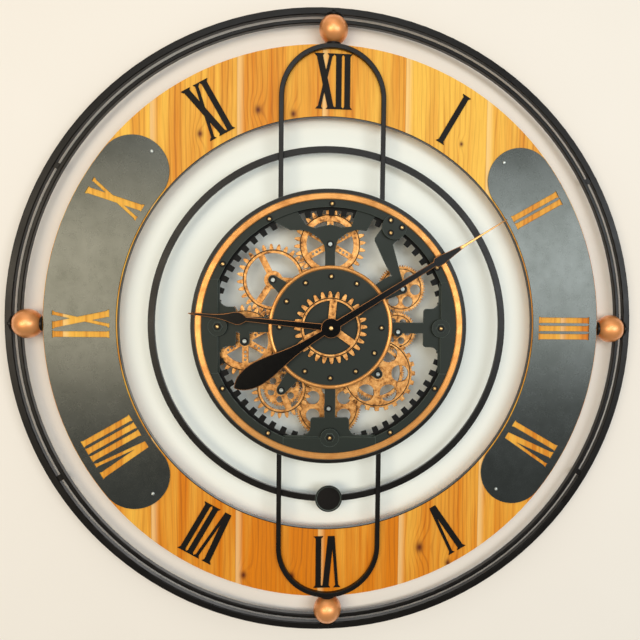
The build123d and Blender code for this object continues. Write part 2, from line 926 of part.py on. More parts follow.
def boss_screws():
    level = bracket_front + boss_height + boss_nut_height
    length = boss_height + boss_nut_height + bracket_thickness / 2
    return [screw(at, level, length, turn=25.0) for at in boss_places()]


def cover_screws():
    level = screw_head_height + knob_recess / 2
    places = [polar(cover_screw_circle, bearing) for bearing in cover_screw_bearings]
    return [rear_screw(at, level) for at in places]


def pillar_screws():
    level = bracket_front - screw_head_height
    return [screw(at, level) for at in pillar_places]


# Centre of the movement
def pivot_spider():
    face = Circle(spider_radius)
    for pivot in (upper_left, lower_left, lower_right):
        bearing = atan2(pivot[1], pivot[0]) * 180.0 / pi
        base = polar(lug_base_distance, bearing)
        face = face + hull_of((base[0], base[1], lug_base_radius), (pivot[0], pivot[1], lug_radius))
        root = polar(spider_radius / 2, bearing)
        face = face + hull_of(
            (base[0], base[1], lug_base_radius), (root[0], root[1], lug_base_radius)
        )
    face = face - Circle(stem_radius + stem_fit)
    body = plate(face, bracket_back, bracket_front)
    for pivot in (upper_left, lower_left, lower_right):
        body = body - post_hole(pivot)
    for at in pillar_places:
        body = body - disc(screw_head_radius, bracket_front - screw_head_height, bracket_front, at)
        body = body - disc(screw_shank_radius, bracket_back, bracket_front, at)
    return without(body, centre_screws())


def centre_plate():
    body = disc(centre_radius, bracket_front, front_face)
    body = body - disc(stem_radius + stem_fit, bracket_front, front_face)
    return without(body, centre_screws())


def centre_ring():
    band = ring(centre_radius, centre_ring_outer, bracket_front, front_face + centre_ring_proud)
    top_level = front_face + centre_ring_proud
    return fillet(band.edges().filter_by_position(Axis.Z, top_level, top_level), centre_ring_round)


def centre_gear():
    points = []
    pitch_turn = 360.0 / centre_gear_teeth
    for index in range(centre_gear_teeth):
        middle = centre_gear_phase + pitch_turn * index
        height = centre_gear_tip - centre_gear_root
        for share, half in ((0, -0.33), (0.45, -0.27), (0.85, -0.17), (1, -0.08)):
            points.append(polar(centre_gear_root + height * share, middle + half * pitch_turn))
        for share, half in ((1, 0.08), (0.85, 0.17), (0.45, 0.27), (0, 0.33)):
            points.append(polar(centre_gear_root + height * share, middle + half * pitch_turn))
    face = outline(points) - Circle(centre_gear_rim_inner)
    reach = (centre_gear_rim_inner + centre_gear_root) / 2
    for index in range(3):
        end = polar(reach, centre_spoke_bearing + 120.0 * index)
        spoke = box_face(0, reach, -centre_gear_spoke / 2, centre_gear_spoke / 2)
        bearing = atan2(end[1], end[0]) * 180.0 / pi
        face = face + Rot(0, 0, bearing) * spoke
    face = face + Circle(centre_gear_hub)
    face = face - Circle(stem_radius + stem_fit / 2)
    body = plate(face, front_face, gear_front)
    return body - groove(centre_gear_root - groove_width, gear_front)


def stem_nut():
    hexagon = RegularPolygon(stem_nut_corner, 6) - Circle(stem_radius)
    return plate(hexagon, gear_front, nut_front)


# Wheels
def involute(radius, base):
    slope = acos(min(1.0, base / radius))
    return tan(slope) - slope


def gear_face(teeth, module, phase, backlash):
    pitch = teeth * module / 2
    base = pitch * cos(radians(pressure_angle))
    tip = pitch + module
    root = pitch - module * 1.25
    half_turn = (pi * module / 2 - backlash) / (2 * pitch) + involute(pitch, base)
    start = max(root, base)
    stations = [start + (tip - start) * share for share in (0.0, 0.35, 0.7, 1.0)]
    flank = [(radius, half_turn - involute(radius, base)) for radius in stations]
    if root < start:
        flank.insert(0, (root, flank[0][1]))
    points = []
    for index in range(teeth):
        middle = phase + 360.0 * index / teeth
        for radius, half in flank:
            points.append(polar(radius, middle - half * 180.0 / pi))
        for radius, half in reversed(flank):
            points.append(polar(radius, middle + half * 180.0 / pi))
    return outline(points)


def groove(radius, front):
    return ring(radius - groove_width / 2, radius + groove_width / 2, front - groove_depth, front)


def wheel_hub(radius=hub_radius):
    return disc(radius, fine_back, hub_front)


def bored(body):
    return body - disc(post_radius + running_fit, fine_back, hub_front)


def holes(count, circle, radius, turn=0.0):
    places = [polar(circle, turn + 360.0 * index / count) for index in range(count)]
    return [Pos(*at) * Circle(radius) for at in places]


def spoke_faces(count, reach, turn, hole_places=()):
    made = []
    for index in range(count):
        spoke = box_face(0, reach, -spoke_width / 2, spoke_width / 2)
        for place in hole_places:
            spoke = spoke - Pos(place, 0) * Circle(spoke_hole_radius)
        made.append(Rot(0, 0, turn + 360.0 * index / count) * spoke)
    return made


def coarse_wheel(teeth, phase, rim_inner, spokes, hub_disc):
    root = coarse_module * (teeth / 2 - 1.25)
    face = gear_face(teeth, coarse_module, phase, coarse_backlash) - Circle(rim_inner)
    body = plate(face, coarse_back, coarse_front) - groove(root - groove_width, coarse_front)
    for spoke in spokes:
        body = body + plate(
            spoke & Circle(rim_inner + spoke_root), coarse_back + spoke_setback, coarse_front - spoke_setback
        )
    body = body + disc(hub_disc, coarse_back, coarse_front)
    return bored(body + wheel_hub())


def top_wheel():
    spokes = spoke_faces(6, top_rim_inner + spoke_root, 30.0, spoke_hole_places)
    return Pos(*top) * coarse_wheel(teeth_top, phase_top, top_rim_inner, spokes, top_hub_disc)


def upper_left_wheel():
    spokes = spoke_faces(3, upper_left_rim_inner + spoke_root, upper_left_spoke_bearing)
    wheel = coarse_wheel(
        teeth_upper_left, phase_upper_left, upper_left_rim_inner, spokes, upper_left_hub_disc
    )
    return Pos(*upper_left) * wheel


def left_wheel():
    spokes = spoke_faces(6, left_rim_inner + spoke_root, 30.0, spoke_hole_places)
    return Pos(*left) * coarse_wheel(teeth_left, phase_left, left_rim_inner, spokes, left_hub_disc)


def lower_left_wheel():
    spokes = spoke_faces(3, lower_left_rim_inner + spoke_root, lower_left_spoke_bearing)
    coarse = coarse_wheel(
        teeth_lower_left, phase_lower_left, lower_left_rim_inner, spokes, lower_left_hub_disc
    )
    fine = gear_face(teeth_lower_left_fine, fine_module, phase_lower_left_fine, fine_backlash)
    for hole in holes(6, lower_left_hole_circle, lower_left_hole_radius, lower_left_hole_turn):
        fine = fine - hole
    fine_part = plate(fine, fine_back, fine_front)
    link = disc(lower_left_hub_disc, fine_front, coarse_back)
    return Pos(*lower_left) * bored(coarse + fine_part + link)


def fine_wheel(teeth, phase, hole_count, hole_circle, hole_radius, turn):
    face = gear_face(teeth, fine_module, phase, fine_backlash)
    for hole in holes(hole_count, hole_circle, hole_radius, turn):
        face = face - hole
    rim_line = fine_module * (teeth / 2 - 1.25) - fine_groove_inset
    body = plate(face, fine_back, fine_front) - groove(rim_line, fine_front)
    return bored(body + wheel_hub())


def bottom_wheel():
    wheel = fine_wheel(
        teeth_bottom, phase_bottom, 6, bottom_hole_circle, bottom_hole_radius, bottom_hole_turn
    )
    return Pos(*bottom) * wheel


def right_wheel():
    wheel = fine_wheel(
        teeth_right, phase_right, 6, right_hole_circle, right_hole_radius, right_hole_turn
    )
    return Pos(*right) * wheel


def upper_right_wheel():
    wheel = fine_wheel(
        teeth_upper_right,
        phase_upper_right,
        6,
        upper_right_hole_circle,
        upper_right_hole_radius,
        upper_right_hole_turn,
    )
    return Pos(*upper_right) * wheel


def lower_right_wheel():
    points = []
    pitch_turn = 360.0 / blunt_teeth
    for index in range(blunt_teeth):
        middle = pitch_turn * index
        points.append(polar(blunt_root, middle - blunt_root_share * pitch_turn))
        points.append(polar(blunt_tip, middle - blunt_tip_share * pitch_turn))
        points.append(polar(blunt_tip, middle + blunt_tip_share * pitch_turn))
        points.append(polar(blunt_root, middle + blunt_root_share * pitch_turn))
    face = outline(points)
    for hole in holes(6, lower_right_hole_circle, lower_right_hole_radius, 0.0):
        face = face - hole
    coarse = plate(face, coarse_back, coarse_front) - groove(blunt_root - blunt_groove_inset, coarse_front)
    fine = gear_face(
        teeth_lower_right_fine, fine_module, phase_lower_right, fine_backlash
    )
    fine = fine - Circle(lower_right_fine_rim)
    for spoke in spoke_faces(6, lower_right_fine_rim + spoke_root, 30.0):
        fine = fine + spoke
    fine = fine + Circle(lower_right_disc)
    link = disc(lower_right_disc, fine_front, coarse_back)
    hub = wheel_hub(hub_radius + lower_right_hub_extra)
    body = coarse + plate(fine, fine_back, fine_front) + link + hub
    return Pos(*lower_right) * bored(body)


def drive_pinion():
    face = gear_face(teeth_pinion, fine_module, phase_pinion, fine_backlash)
    shaft = disc(drive_shaft_radius, floor_back - cell_room / 2, fine_front + drive_shaft_proud)
    return Pos(*pinion) * (plate(face, fine_back, fine_front) + shaft)


def gear_posts():
    made = []
    for at in (top, upper_left, left, lower_left, bottom, lower_right, right, upper_right):
        shank = disc(post_radius, flange_front, bracket_front + post_proud, at)
        flange = disc(flange_radius, flange_front - flange_thickness, flange_front, at)
        end = bracket_front + post_proud
        slot = Pos(at[0], at[1], end) * Box(post_radius * 1.4, screw_slot_width, screw_slot_depth)
        made.append(shank + flange - slot)
    return made


# Rear housing, its cover and contents
def movement_housing():
    wall = ring(housing_radius - housing_wall, housing_radius, cover_thickness, floor_back)
    body = wall + disc(housing_radius, floor_back, housing_front)
    for bearing in cover_screw_bearings:
        at = polar(cover_screw_circle, bearing)
        body = body + disc(cover_boss_radius, cover_thickness, floor_back, at)
    for at in pillar_places:
        body = body + disc(pillar_radius, housing_front, bracket_back, at)
    body = body - disc(stem_radius + stem_fit, floor_back, housing_front)
    body = body - disc(drive_shaft_radius + ring_fit, floor_back, housing_front, pinion)
    return without(body, cover_screws() + pillar_screws())


def housing_cover():
    body = disc(housing_radius, 0, cover_thickness)
    body = body - disc(knob_radius + knob_gap, 0, cover_thickness, (0, -knob_drop))
    for bearing in cover_screw_bearings:
        at = polar(cover_screw_circle, bearing)
        body = body - disc(screw_head_radius + ring_fit, 0, screw_head_height + knob_recess / 2, at)
    return without(body, cover_screws())


def quartz_module():
    back = cover_thickness + module_gap
    case = plate(RectangleRounded(module_side, module_side, module_corner), back, floor_back)
    stem = disc(stem_radius, floor_back, nut_front)
    body = case + stem
    body = body - disc(pipe_radius + running_fit, arbor_start - 1, nut_front)
    shaft_end = back + knob_shaft_depth
    return body - disc(knob_shaft_radius + running_fit, back, shaft_end, (0, -knob_drop))


def set_knob():
    at = (0, -knob_drop)
    back = cover_thickness + module_gap
    grip = disc(knob_radius, knob_recess, back - running_fit * 4, at)
    dimple = disc(knob_radius - knob_rim, knob_recess, knob_recess + knob_dimple, at)
    slot = Pos(at[0], at[1], knob_recess + knob_dimple) * Box(knob_radius * 1.4, knob_rim, knob_dimple * 2)
    shaft = disc(knob_shaft_radius, back - running_fit * 4, back + knob_shaft_depth - knob_end_play, at)
    return (grip - dimple - slot) + shaft


def battery_cells():
    made = []
    middle = cover_thickness + cell_room / 2
    base = (Align.CENTER, Align.CENTER, Align.CENTER)
    for y in (-cell_height, cell_height):
        body_length = cell_length - cell_tip_length
        can = Pos(0, y, middle) * Rot(0, 90, 0) * Cylinder(cell_diameter / 2, body_length, align=base)
        tip_at = (body_length + cell_tip_length) / 2
        tip = Pos(tip_at, y, middle) * Rot(0, 90, 0) * Cylinder(
            cell_tip_radius, cell_tip_length, align=base
        )
        made.append(can + tip)
    return made


def gear_motor():
    body = disc(motor_radius, cover_thickness + motor_gap, floor_back, pinion)
    start = floor_back - cell_room / 2 - ring_fit
    return body - disc(drive_shaft_radius + running_fit, start, floor_back, pinion)


# Hands
def tapered(stations):
    upper = [(along, half) for along, half in stations]
    lower = [(along, -half) for along, half in reversed(stations)]
    return outline(upper + lower)


def leaf(stations):
    upper = Spline(*[(along, half) for along, half in stations])
    lower = Spline(*[(along, -half) for along, half in stations])
    start = Line((stations[0][0], stations[0][1]), (stations[0][0], -stations[0][1]))
    end = Line((stations[-1][0], stations[-1][1]), (stations[-1][0], -stations[-1][1]))
    return make_face([upper, lower, start, end])


def minute_hand():
    bar = tapered(minute_bar)
    tail = leaf(minute_tail)
    face = bar + tail + Circle(hand_hub_radius)
    body = plate(face, minute_back, minute_front)
    body = body + disc(arbor_radius + arbor_collar_width, minute_back - minute_collar, minute_back)
    body = body - disc(arbor_radius, minute_back - minute_collar, minute_front)
    return Rot(0, 0, minute_bearing) * body


def hour_hand():
    bar = tapered(hour_bar)
    spade = leaf(hour_spade)
    face = bar + spade + Circle(hour_hub_radius)
    body = plate(face, hour_back, hour_front) + disc(pipe_radius, pipe_start, hour_back)
    body = body - disc(arbor_radius + running_fit, pipe_start, hour_front)
    return Rot(0, 0, hour_bearing) * body


def minute_arbor():
    return disc(arbor_radius, arbor_start, nut_top - arbor_setback)


def hand_nut():
    body = disc(hand_nut_radius, minute_front, nut_top)
    body = fillet(body.edges().sort_by(Axis.Z)[-1], hand_nut_round)
    return body - disc(arbor_radius, minute_front, nut_top - arbor_setback)


save("outer_rim", outer_rim())
save("inner_rim", inner_rim())
save("rim_ties", *rim_ties())
save("rim_balls", *rim_balls())
save("ball_pads", *ball_pads())
save("ball_studs", *ball_studs())
save("wood_dial", wood_dial())
save("dial_edge_hoop", dial_edge_hoop())
save("right_hour_plate", hour_plate(0.0, [(2, "II"), (3, "III"), (4, "IV")]))
save("left_hour_plate", hour_plate(180.0, [(8, "VIII"), (9, "IX"), (10, "X")]))
save("wood_screws", *wood_screws())
save("hanger", hanger())
for hour, text in ((12, "XII"), (1, "I"), (5, "V"), (6, "VI"), (7, "VII"), (11, "XI")):
    save(f"numeral_{hour}", applied_numeral(hour, text))
save("upper_loop", loop(0.0))
save("lower_loop", loop(180.0))
save("middle_ring", middle_ring())
save("foot_plate", foot_plate())
save("case_ring", case_ring())
save("gold_bezel", gold_bezel())
save("toothed_ring", toothed_ring())
save("front_ring", front_ring())
save("left_bracket", bracket(left_face(), left, 180.0))
save("right_bracket", bracket(right_face(), right, 0.0))
save("bottom_bracket", bracket(bottom_face(), bottom, -90.0))
save("top_bracket", bracket(top_face(), top))
save("click_arm", bracket(click_face(), upper_right))
save("click_plate", click_plate())
save("frame_bosses", *frame_bosses())
save("pivot_spider", pivot_spider())
save("centre_plate", centre_plate())
save("centre_ring", centre_ring())
save("centre_gear", centre_gear())
save("stem_nut", stem_nut())
brass = centre_screws() + frame_screws() + click_screws() + boss_screws()
save("brass_screws", *brass, *cover_screws(), *pillar_screws())
save("gear_posts", *gear_posts())
save("top_wheel", top_wheel())
save("upper_left_wheel", upper_left_wheel())
save("left_wheel", left_wheel())
save("lower_left_wheel", lower_left_wheel())
save("bottom_wheel", bottom_wheel())
save("lower_right_wheel", lower_right_wheel())
save("right_wheel", right_wheel())
save("upper_right_wheel", upper_right_wheel())
save("drive_pinion", drive_pinion())
save("movement_housing", movement_housing())
save("housing_cover", housing_cover())
save("quartz_module", quartz_module())
save("set_knob", set_knob())
save("battery_cells", *battery_cells())
save("gear_motor", gear_motor())
save("minute_hand", minute_hand())
save("hour_hand", hour_hand())
save("minute_arbor", minute_arbor())
save("hand_nut", hand_nut())
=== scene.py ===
import json
import math

import bmesh
import bpy
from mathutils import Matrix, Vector

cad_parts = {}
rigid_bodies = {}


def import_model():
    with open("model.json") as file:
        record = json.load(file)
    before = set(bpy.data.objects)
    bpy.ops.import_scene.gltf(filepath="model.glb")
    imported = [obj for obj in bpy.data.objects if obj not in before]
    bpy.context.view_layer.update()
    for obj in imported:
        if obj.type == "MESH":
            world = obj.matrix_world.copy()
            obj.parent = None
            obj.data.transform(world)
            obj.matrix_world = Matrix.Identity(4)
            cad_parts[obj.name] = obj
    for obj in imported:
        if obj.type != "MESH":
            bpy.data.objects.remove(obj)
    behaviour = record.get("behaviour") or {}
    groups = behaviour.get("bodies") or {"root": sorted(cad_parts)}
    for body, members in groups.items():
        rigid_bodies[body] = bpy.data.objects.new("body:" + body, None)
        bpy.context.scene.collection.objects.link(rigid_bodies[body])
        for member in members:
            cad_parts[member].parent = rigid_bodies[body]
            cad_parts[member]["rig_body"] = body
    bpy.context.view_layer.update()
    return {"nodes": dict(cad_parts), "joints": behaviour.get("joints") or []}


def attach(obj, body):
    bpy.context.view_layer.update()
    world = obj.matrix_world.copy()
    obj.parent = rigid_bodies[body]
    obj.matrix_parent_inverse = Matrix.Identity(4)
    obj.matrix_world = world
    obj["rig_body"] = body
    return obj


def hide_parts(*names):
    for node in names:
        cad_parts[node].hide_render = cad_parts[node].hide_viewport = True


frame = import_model()
print("frame loaded,", len(frame["nodes"]), "nodes")


# sRGB hex to linear colour
def tint(code):
    channels = [int(code[i:i + 2], 16) / 255 for i in (1, 3, 5)]
    linear = [c / 12.92 if c <= 0.04045 else ((c + 0.055) / 1.055) ** 2.4 for c in channels]
    return (*linear, 1.0)


# sizes in metres to the scales of a pattern
def perMetre(sizes):
    return tuple(1 / size for size in sizes)


# one node with its settings, its values and its links
# inputs go by name or number, or in a row from the first, and a node stands for its first output
def addNode(tree, kind, settings=None, inputs=()):
    node = tree.nodes.new(kind)
    for key, value in (settings or {}).items():
        if key == "ease":
            node.color_ramp.interpolation = value
        elif key == "stops":
            ramp = node.color_ramp
            while len(ramp.elements) < len(value):
                ramp.elements.new(0.5)
            for element, (place, colour) in zip(ramp.elements, value):
                element.position = place
                element.color = colour
        else:
            setattr(node, key, value)
    for key, value in inputs.items() if isinstance(inputs, dict) else enumerate(inputs):
        if isinstance(value, bpy.types.Node):
            value = value.outputs[0]
        if isinstance(value, bpy.types.NodeSocket):
            tree.links.new(value, node.inputs[key])
        else:
            node.inputs[key].default_value = value
    return node


def newFinish(name):
    finish = bpy.data.materials.new(name)
    finish.use_nodes = True
    tree = finish.node_tree
    tree.nodes.clear()
    shader = addNode(tree, "ShaderNodeBsdfPrincipled")
    addNode(tree, "ShaderNodeOutputMaterial", inputs={"Surface": shader})
    place = addNode(tree, "ShaderNodeTexCoord").outputs["Object"]
    return finish, tree, shader, place


# in the finishes below, four numbers in a row are a range and what it turns into
pine = {
    "light": "#F7BE4A", "warm": "#D87A08", "late": "#9A5210",
    "sap": "#FAD596", "knot": "#5E2406", "seam": "#6E3A0E",
    "boardWidth": 0.1057, "firstSeam": -0.119, "boardsLeft": 3.5,
    # depth of colour of each board, from the left
    "boards": [0.30, 0.08, 0.25, 0.50, 0.45, 0.02, 0.18, 0.30],
    # x, z and size of each knot
    "knots": [(-0.093, 0.270, 0.0042), (-0.0495, 0.2665, 0.0038), (-0.164, 0.238, 0.0036),
              (0.1655, 0.2364, 0.0024), (0.1207, -0.292, 0.0052), (0.1593, -0.314, 0.004),
              (0.2102, -0.2054, 0.0034), (-0.1088, -0.3237, 0.004), (-0.047, -0.3266, 0.004)],
    "knotHeight": 1.35, "knotReach": 0.11, "knotSwell": 2.2, "knotCore": 1.1,
    # metres across, deep and along the grain
    "wander": (0.04, 0.04, 0.26), "streak": (0.016, 0.016, 0.35),
    "fibre": (0.0009, 0.004, 0.035),  # coarser than real fibres, so that they show
    "ringSpacing": 0.0064, "bend": 0.026, "ringJump": 0.37, "boardJump": 40.0,
    "foot": 0.85,  # painted shade: how much deeper the colour gets for each metre down, as if lit from above
    "lines": (0.3, 1.0, 0.0, 1.0), "linesShown": (0.35, 0.68, 0.04, 0.5),
    "streaky": (0.3, 0.7, -0.1, 0.75), "fibreShade": (0.3, 0.75, 1.08, 0.84),
    "sapEdge": (0.02, 0.1, 0.55, 0.0), "seamEdge": (0.0, 0.007, 0.55, 0.0),
    "rough": (0.2, 0.8, 0.38, 0.55), "bump": 0.25, "bumpHeight": 0.0003, "lineDip": 0.5,
    "ior": 1.5, "gloss": 0.2,
}


# honey pine boards, planed and varnished: upright grain, pale early wood, knots
def makePine():
    finish, tree, shader, place = newFinish("honeyPine")
    split = addNode(tree, "ShaderNodeSeparateXYZ", inputs=(place,))
    x, z = split.outputs[0], split.outputs[2]
    shifted = addNode(tree, "ShaderNodeMath", {"operation": "SUBTRACT"}, (x, pine["firstSeam"]))
    along = addNode(tree, "ShaderNodeMath", {"operation": "DIVIDE"}, (shifted, pine["boardWidth"]))
    board = addNode(tree, "ShaderNodeMath", {"operation": "FLOOR"}, (along,))
    inBoard = addNode(tree, "ShaderNodeMath", {"operation": "FRACT"}, (along,))
    chance = addNode(tree, "ShaderNodeTexWhiteNoise", {"noise_dimensions": "1D"}, {"W": board})
    count = len(pine["boards"])
    left = -pine["boardsLeft"]
    fromLeft = addNode(tree, "ShaderNodeMapRange", inputs=(board, left, left + count, 0.0, 1.0))
    shades = [(i / count, (deep, deep, deep, 1.0)) for i, deep in enumerate(pine["boards"])]
    depth = addNode(tree, "ShaderNodeValToRGB", {"ease": "CONSTANT", "stops": shades}, (fromLeft,))
    # slow wander of the grain, different in each board
    slow = addNode(tree, "ShaderNodeVectorMath", {"operation": "MULTIPLY"},
                   (place, perMetre(pine["wander"])))
    jump = addNode(tree, "ShaderNodeVectorMath", {"operation": "SCALE"},
                   {0: chance.outputs["Color"], "Scale": pine["boardJump"]})
    moved = addNode(tree, "ShaderNodeVectorMath", {"operation": "ADD"}, (slow, jump))
    wander = addNode(tree, "ShaderNodeTexNoise", inputs={"Vector": moved, "Scale": 1.0, "Detail": 3.0})
    bent = addNode(tree, "ShaderNodeMath", {"operation": "MULTIPLY_ADD"},
                   (wander.outputs["Fac"], pine["bend"], x))
    grain = addNode(tree, "ShaderNodeMath", {"operation": "MULTIPLY_ADD"},
                    (chance.outputs["Value"], pine["ringJump"], bent))
    # the grain flows round each knot, and the knot's core is dark
    dark = 0.0
    for knotX, knotZ, size in pine["knots"]:
        dx = addNode(tree, "ShaderNodeMath", {"operation": "SUBTRACT"}, (x, knotX))
        dz = addNode(tree, "ShaderNodeMath", {"operation": "SUBTRACT"}, (z, knotZ))
        sx = addNode(tree, "ShaderNodeMath", {"operation": "DIVIDE"}, (dx, size))
        sz = addNode(tree, "ShaderNodeMath", {"operation": "DIVIDE"}, (dz, size * pine["knotHeight"]))
        xx = addNode(tree, "ShaderNodeMath", {"operation": "MULTIPLY"}, (sx, sx))
        far = addNode(tree, "ShaderNodeMath", {"operation": "MULTIPLY_ADD"}, (sz, sz, xx))
        wide = addNode(tree, "ShaderNodeMath", {"operation": "MULTIPLY"}, (far, -pine["knotReach"]))
        swell = addNode(tree, "ShaderNodeMath", {"operation": "EXPONENT"}, (wide,))
        grain = addNode(tree, "ShaderNodeMath", {"operation": "MULTIPLY_ADD"},
                        (swell, size * pine["knotSwell"], grain))
        tight = addNode(tree, "ShaderNodeMath", {"operation": "MULTIPLY"}, (far, -pine["knotCore"]))
        core = addNode(tree, "ShaderNodeMath", {"operation": "EXPONENT"}, (tight,))
        dark = addNode(tree, "ShaderNodeMath", {"operation": "MAXIMUM"}, (dark, core))
    turns = addNode(tree, "ShaderNodeMath", {"operation": "MULTIPLY"},
                    (grain, 2 * math.pi / pine["ringSpacing"]))
    wave = addNode(tree, "ShaderNodeMath", {"operation": "SINE"}, (turns,))
    lines = addNode(tree, "ShaderNodeMapRange", inputs=(wave, *pine["lines"]))
    # strength of the lines changes from place to place
    patch = addNode(tree, "ShaderNodeVectorMath", {"operation": "MULTIPLY"},
                    (place, perMetre(pine["streak"])))
    shiftedPatch = addNode(tree, "ShaderNodeVectorMath", {"operation": "ADD"}, (patch, jump))
    strength = addNode(tree, "ShaderNodeTexNoise",
                       inputs={"Vector": shiftedPatch, "Scale": 1.0, "Detail": 4.0, "Distortion": 0.4})
    shown = addNode(tree, "ShaderNodeMapRange", inputs=(strength.outputs["Fac"], *pine["linesShown"]))
    late = addNode(tree, "ShaderNodeMath", {"operation": "MULTIPLY"}, (lines, shown))
    thin = addNode(tree, "ShaderNodeVectorMath", {"operation": "MULTIPLY"},
                   (place, perMetre(pine["fibre"])))
    fibre = addNode(tree, "ShaderNodeTexNoise",
                    inputs={"Vector": thin, "Scale": 1.0, "Detail": 3.0, "Roughness": 0.65})
    streaky = addNode(tree, "ShaderNodeMapRange", inputs=(strength.outputs["Fac"], *pine["streaky"]))
    # painted shade: the colour deepens towards the bottom, on top of the random streaks
    streaksAndShade = addNode(tree, "ShaderNodeMath", {"operation": "MULTIPLY_ADD"}, (z, -pine["foot"], streaky))
    tone = addNode(tree, "ShaderNodeMath", {"operation": "ADD", "use_clamp": True}, (depth, streaksAndShade))
    ground = addNode(tree, "ShaderNodeMix", {"data_type": "RGBA"},
                     {0: tone, 6: tint(pine["light"]), 7: tint(pine["warm"])})
    ringed = addNode(tree, "ShaderNodeMix", {"data_type": "RGBA"},
                     {0: late, 6: ground.outputs[2], 7: tint(pine["late"])})
    fine = addNode(tree, "ShaderNodeMapRange", inputs=(fibre.outputs["Fac"], *pine["fibreShade"]))
    fibred = addNode(tree, "ShaderNodeVectorMath", {"operation": "SCALE"},
                     {0: ringed.outputs[2], "Scale": fine})
    # pale sapwood beside each seam, and the seam itself
    sap = addNode(tree, "ShaderNodeMapRange", {"interpolation_type": "SMOOTHSTEP"},
                  (inBoard, *pine["sapEdge"]))
    sapped = addNode(tree, "ShaderNodeMix", {"data_type": "RGBA"}, {0: sap, 6: fibred, 7: tint(pine["sap"])})
    knotted = addNode(tree, "ShaderNodeMix", {"data_type": "RGBA"},
                      {0: dark, 6: sapped.outputs[2], 7: tint(pine["knot"])})
    seam = addNode(tree, "ShaderNodeMapRange", inputs=(inBoard, *pine["seamEdge"]))
    joined = addNode(tree, "ShaderNodeMix", {"data_type": "RGBA"},
                     {0: seam, 6: knotted.outputs[2], 7: tint(pine["seam"])})
    tree.links.new(joined.outputs[2], shader.inputs["Base Color"])
    rough = addNode(tree, "ShaderNodeMapRange", inputs=(fibre.outputs["Fac"], *pine["rough"]))
    tree.links.new(rough.outputs[0], shader.inputs["Roughness"])
    height = addNode(tree, "ShaderNodeMath", {"operation": "MULTIPLY_ADD"},
                     (late, -pine["lineDip"], fibre.outputs["Fac"]))
    bump = addNode(tree, "ShaderNodeBump",
                   inputs={"Strength": pine["bump"], "Distance": pine["bumpHeight"], "Height": height})
    tree.links.new(bump.outputs[0], shader.inputs["Normal"])
    shader.inputs["IOR"].default_value = pine["ior"]
    shader.inputs["Specular IOR Level"].default_value = pine["gloss"]
    return finish


slate = {
    "base": "#4B4D4A", "smudge": "#3C3E3A", "speck": "#232422", "metallic": 0.9,
    "cloudSize": 0.045, "wipeSize": 0.012, "speckSpacing": 0.028,
    "smudged": (0.38, 0.68, 0.0, 0.55), "speckEdge": (0.016, 0.028, 0.65, 0.0),
    "rough": (0.3, 0.7, 0.24, 0.29), "bump": 0.02, "bumpHeight": 0.0004,
}


# sheet steel with a dark satin coat: a soft sheen, wiped and a little smudged
def makeSlate():
    finish, tree, shader, place = newFinish("slateCoatedSteel")
    cloud = addNode(tree, "ShaderNodeTexNoise", inputs={
        "Vector": place, "Scale": 1 / slate["cloudSize"], "Detail": 4.0, "Roughness": 0.55})
    wiped = addNode(tree, "ShaderNodeTexNoise", inputs={
        "Vector": place, "Scale": 1 / slate["wipeSize"], "Detail": 5.0, "Roughness": 0.7})
    mark = addNode(tree, "ShaderNodeMapRange", inputs=(cloud.outputs["Fac"], *slate["smudged"]))
    toned = addNode(tree, "ShaderNodeMix", {"data_type": "RGBA"},
                    {0: mark, 6: tint(slate["base"]), 7: tint(slate["smudge"])})
    dots = addNode(tree, "ShaderNodeTexVoronoi",
                   inputs={"Vector": place, "Scale": 1 / slate["speckSpacing"], "Randomness": 1.0})
    speck = addNode(tree, "ShaderNodeMapRange", inputs=(dots.outputs["Distance"], *slate["speckEdge"]))
    dusted = addNode(tree, "ShaderNodeMix", {"data_type": "RGBA"},
                     {0: speck, 6: toned.outputs[2], 7: tint(slate["speck"])})
    tree.links.new(dusted.outputs[2], shader.inputs["Base Color"])
    shader.inputs["Metallic"].default_value = slate["metallic"]
    rough = addNode(tree, "ShaderNodeMapRange", inputs=(wiped.outputs["Fac"], *slate["rough"]))
    tree.links.new(rough.outputs[0], shader.inputs["Roughness"])
    bump = addNode(tree, "ShaderNodeBump", inputs={
        "Strength": slate["bump"], "Distance": slate["bumpHeight"], "Height": wiped.outputs["Fac"]})
    tree.links.new(bump.outputs[0], shader.inputs["Normal"])
    return finish


coat = {
    "patchSize": 0.03, "worn": (0.35, 0.7, 0.0, 0.55),
    "rubFrom": 0.3, "rubTo": 0.7, "smoother": 0.05, "rougher": 0.07,
    "varnishRough": 0.3, "peelHeight": 0.0003,
}


